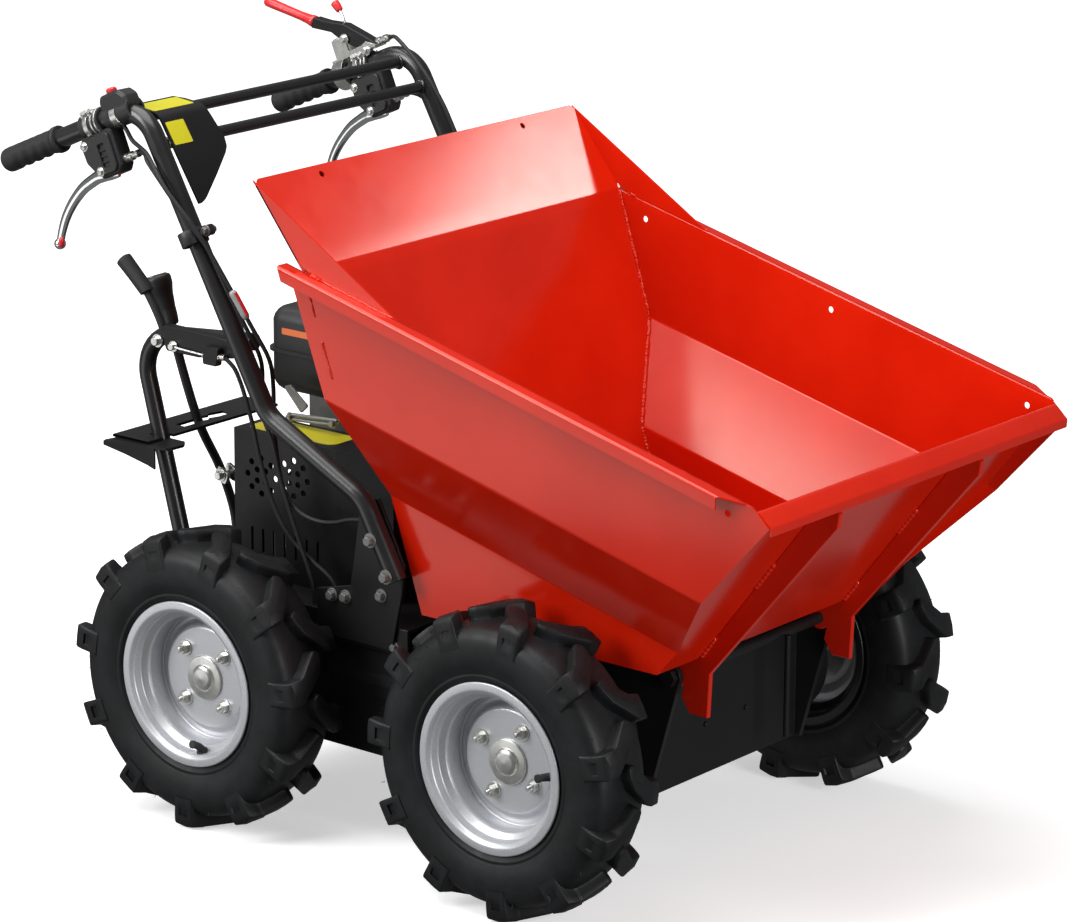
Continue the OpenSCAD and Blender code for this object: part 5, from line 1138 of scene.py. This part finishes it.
# Clevis where the gear lever meets its shaft
clevis = roundedLoop([(-452, 404), (-430, 396), (-424, 412), (-446, 424)], 5, 5)
clevisParts = [plate(clevis, -118, -112, 0.8), plate(clevis, -98, -92, 0.8)]
clevisParts += hexHead((-438, -118, 410), (0, -1, 0), 11, 7, washer=1.6)
clevisParts.append(tube([(-438, -122, 410), (-438, -105, 410), (-438, -88, 410)], 4, 20, side=(1, 0, 0)))
piece("gearClevis", clevisParts, zincPlate, sharp=30)

# Clamp round the right handle tube and its cables: a ring that bulges over the cables, two ears and a bolt
clamp = {"at": np.array([-329, -handle["half"], 795.0]), "down": np.array([0.492, 0, -0.871]),
         "square": np.array([0.871, 0, 0.492]), "bulge": 9.5, "ears": ((-25, -14), (14, 33)), "bolt": 27,
         "rings": ((13.6, -10), (15.6, -10), (16.2, -9.2), (16.2, 9.2), (15.6, 10), (13.6, 10))}
clampTurn = fullTurn(56)[:, None]
clampSpoke = np.cos(clampTurn) * np.array([0, 1, 0]) + np.sin(clampTurn) * clamp["square"]
clampBulge = clamp["bulge"] * np.clip(-np.cos(clampTurn), 0, 1) ** 2
clampRings = [clamp["at"] + (r + clampBulge) * clampSpoke + clamp["down"] * u for r, u in clamp["rings"]]
clampParts = [grid(np.stack(clampRings), closeRows=True, closeCols=True)]
for low, high in clamp["ears"]:
    corners = [clamp["at"] + clamp["square"] * a + clamp["down"] * b
               for a, b in ((low, -7), (high, -7), (high, 7), (low, 7))]
    ear = roundedLoop(np.array(corners)[:, [0, 2]], 2, 4)
    clampParts.append(plate(ear, clamp["at"][1] - 5, clamp["at"][1] + 5, 0.8))
piece("cableClamp", clampParts, blackPlastic, sharp=40)
boltSeat = clamp["at"] + clamp["square"] * clamp["bolt"]
clampBolt = []
for face in (-1, 1):
    clampBolt += hexHead(boltSeat + [0, face * 5, 0], (0, face, 0), 9, 5, washer=1.4)
piece("clampBolt", clampBolt, castMetal, sharp=30)

# Joint in the switch's cable: a pale sleeve with a red core showing along its inner side
jointPath = flowing([(-263, -279, 732), (-257, -277, 722), (-249, -274, 707), (-243, -271, 695)], 8)
jointThick = swelling(jointPath, [0, 0.06, 0.16, 0.84, 0.94, 1], [3.2, 4.6, 5.6, 5.6, 4.6, 3.2])
piece("cableJointSleeve", [tube(jointPath, jointThick, 20)], greyPlastic, sharp=50)
piece("cableJoint", [tube(jointPath[4:-3] + [3.2, -0.6, 1.8], 3.0, 20)], redVinyl, sharp=50)

# Pressed steel strap behind the belt cover, with its two ribs, screws and the post up to the tank
strap = roundedLoop([(-287, 520), (-200, 526), (-192, 538), (-282, 531)], 4, 5)
strapParts = [plate(strap, -142, -138, 1.0)]
for x, z in ((-201, 523.5), (-198, 530.0)):
    strapParts.append(tube([(-281, -142, z), (-240, -143, z + 2.9), (x, -142, z + 5.6)], 2.6, 16))
post = roundedLoop([(-300, 566), (-288, 570), (-255, 545), (-268, 533)], 3, 5)
strapParts.append(plate(post, -139, -135, 0.8))
for x, z in ((-284, 526), (-206, 530)):
    strapParts += hexHead((x, -142, z), (0, -1, 0), 8, 5, washer=1.2)
piece("strapAndPost", strapParts, castMetal, sharp=30)

# Rounded fold at the end of the front plate
frontFold = tube([(411, 66, 163), (411, 66, 234), (411, 66, 305)], 4.0, 24, side=(1, 0, 0))
piece("frontFold", [frontFold], blackPaint, sharp=40)
print("fittings built")

# Nodes that keep their own shape take a finish, with softened edges where they are plates
slotOf = {s["node"]: s["material_slot"] for s in frame["record"]["subparts"]}
edges = {"chassis_frame": 2.0, "engine_deck": 1.5, "chain_case_right": 3, "chain_case_left": 3, "gearbox": 3,
         "hopper_rest": 1.5, "handle_bracket_right": 1.0, "handle_bracket_left": 1.0, "clutch_bracket": 0.6,
         "clutch_arm": 1.6, "gate_plate": 0.8, "belt_cover": 0.7, "engine_block": 1.0, "recoil_starter": 2.0,
         "air_cleaner": 4.0, "muffler": 4.0, "fuel_tank": 0.0}
gateTrim = -0.2665  # metres: the gate ends above its ledge
for name, width in edges.items():
    softened("soft_" + name, name, finishOf[slotOf[name]], width,
             trim=gateTrim if name == "gate_plate" else None)
# The pivot shaft takes black paint as painted shade, for the shadow between the legs under the front wall
softened("soft_pivot_shaft", "pivot_shaft", blackPaint, 0.6)
replaced = {n for o in bpy.data.objects for n in (o.get("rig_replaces") or [])}
for name, obj in nodes.items():
    if name not in replaced:
        obj.data.materials.clear()
        obj.data.materials.append(finishOf[slotOf[name]].material)
print("finishes put on the remaining nodes")
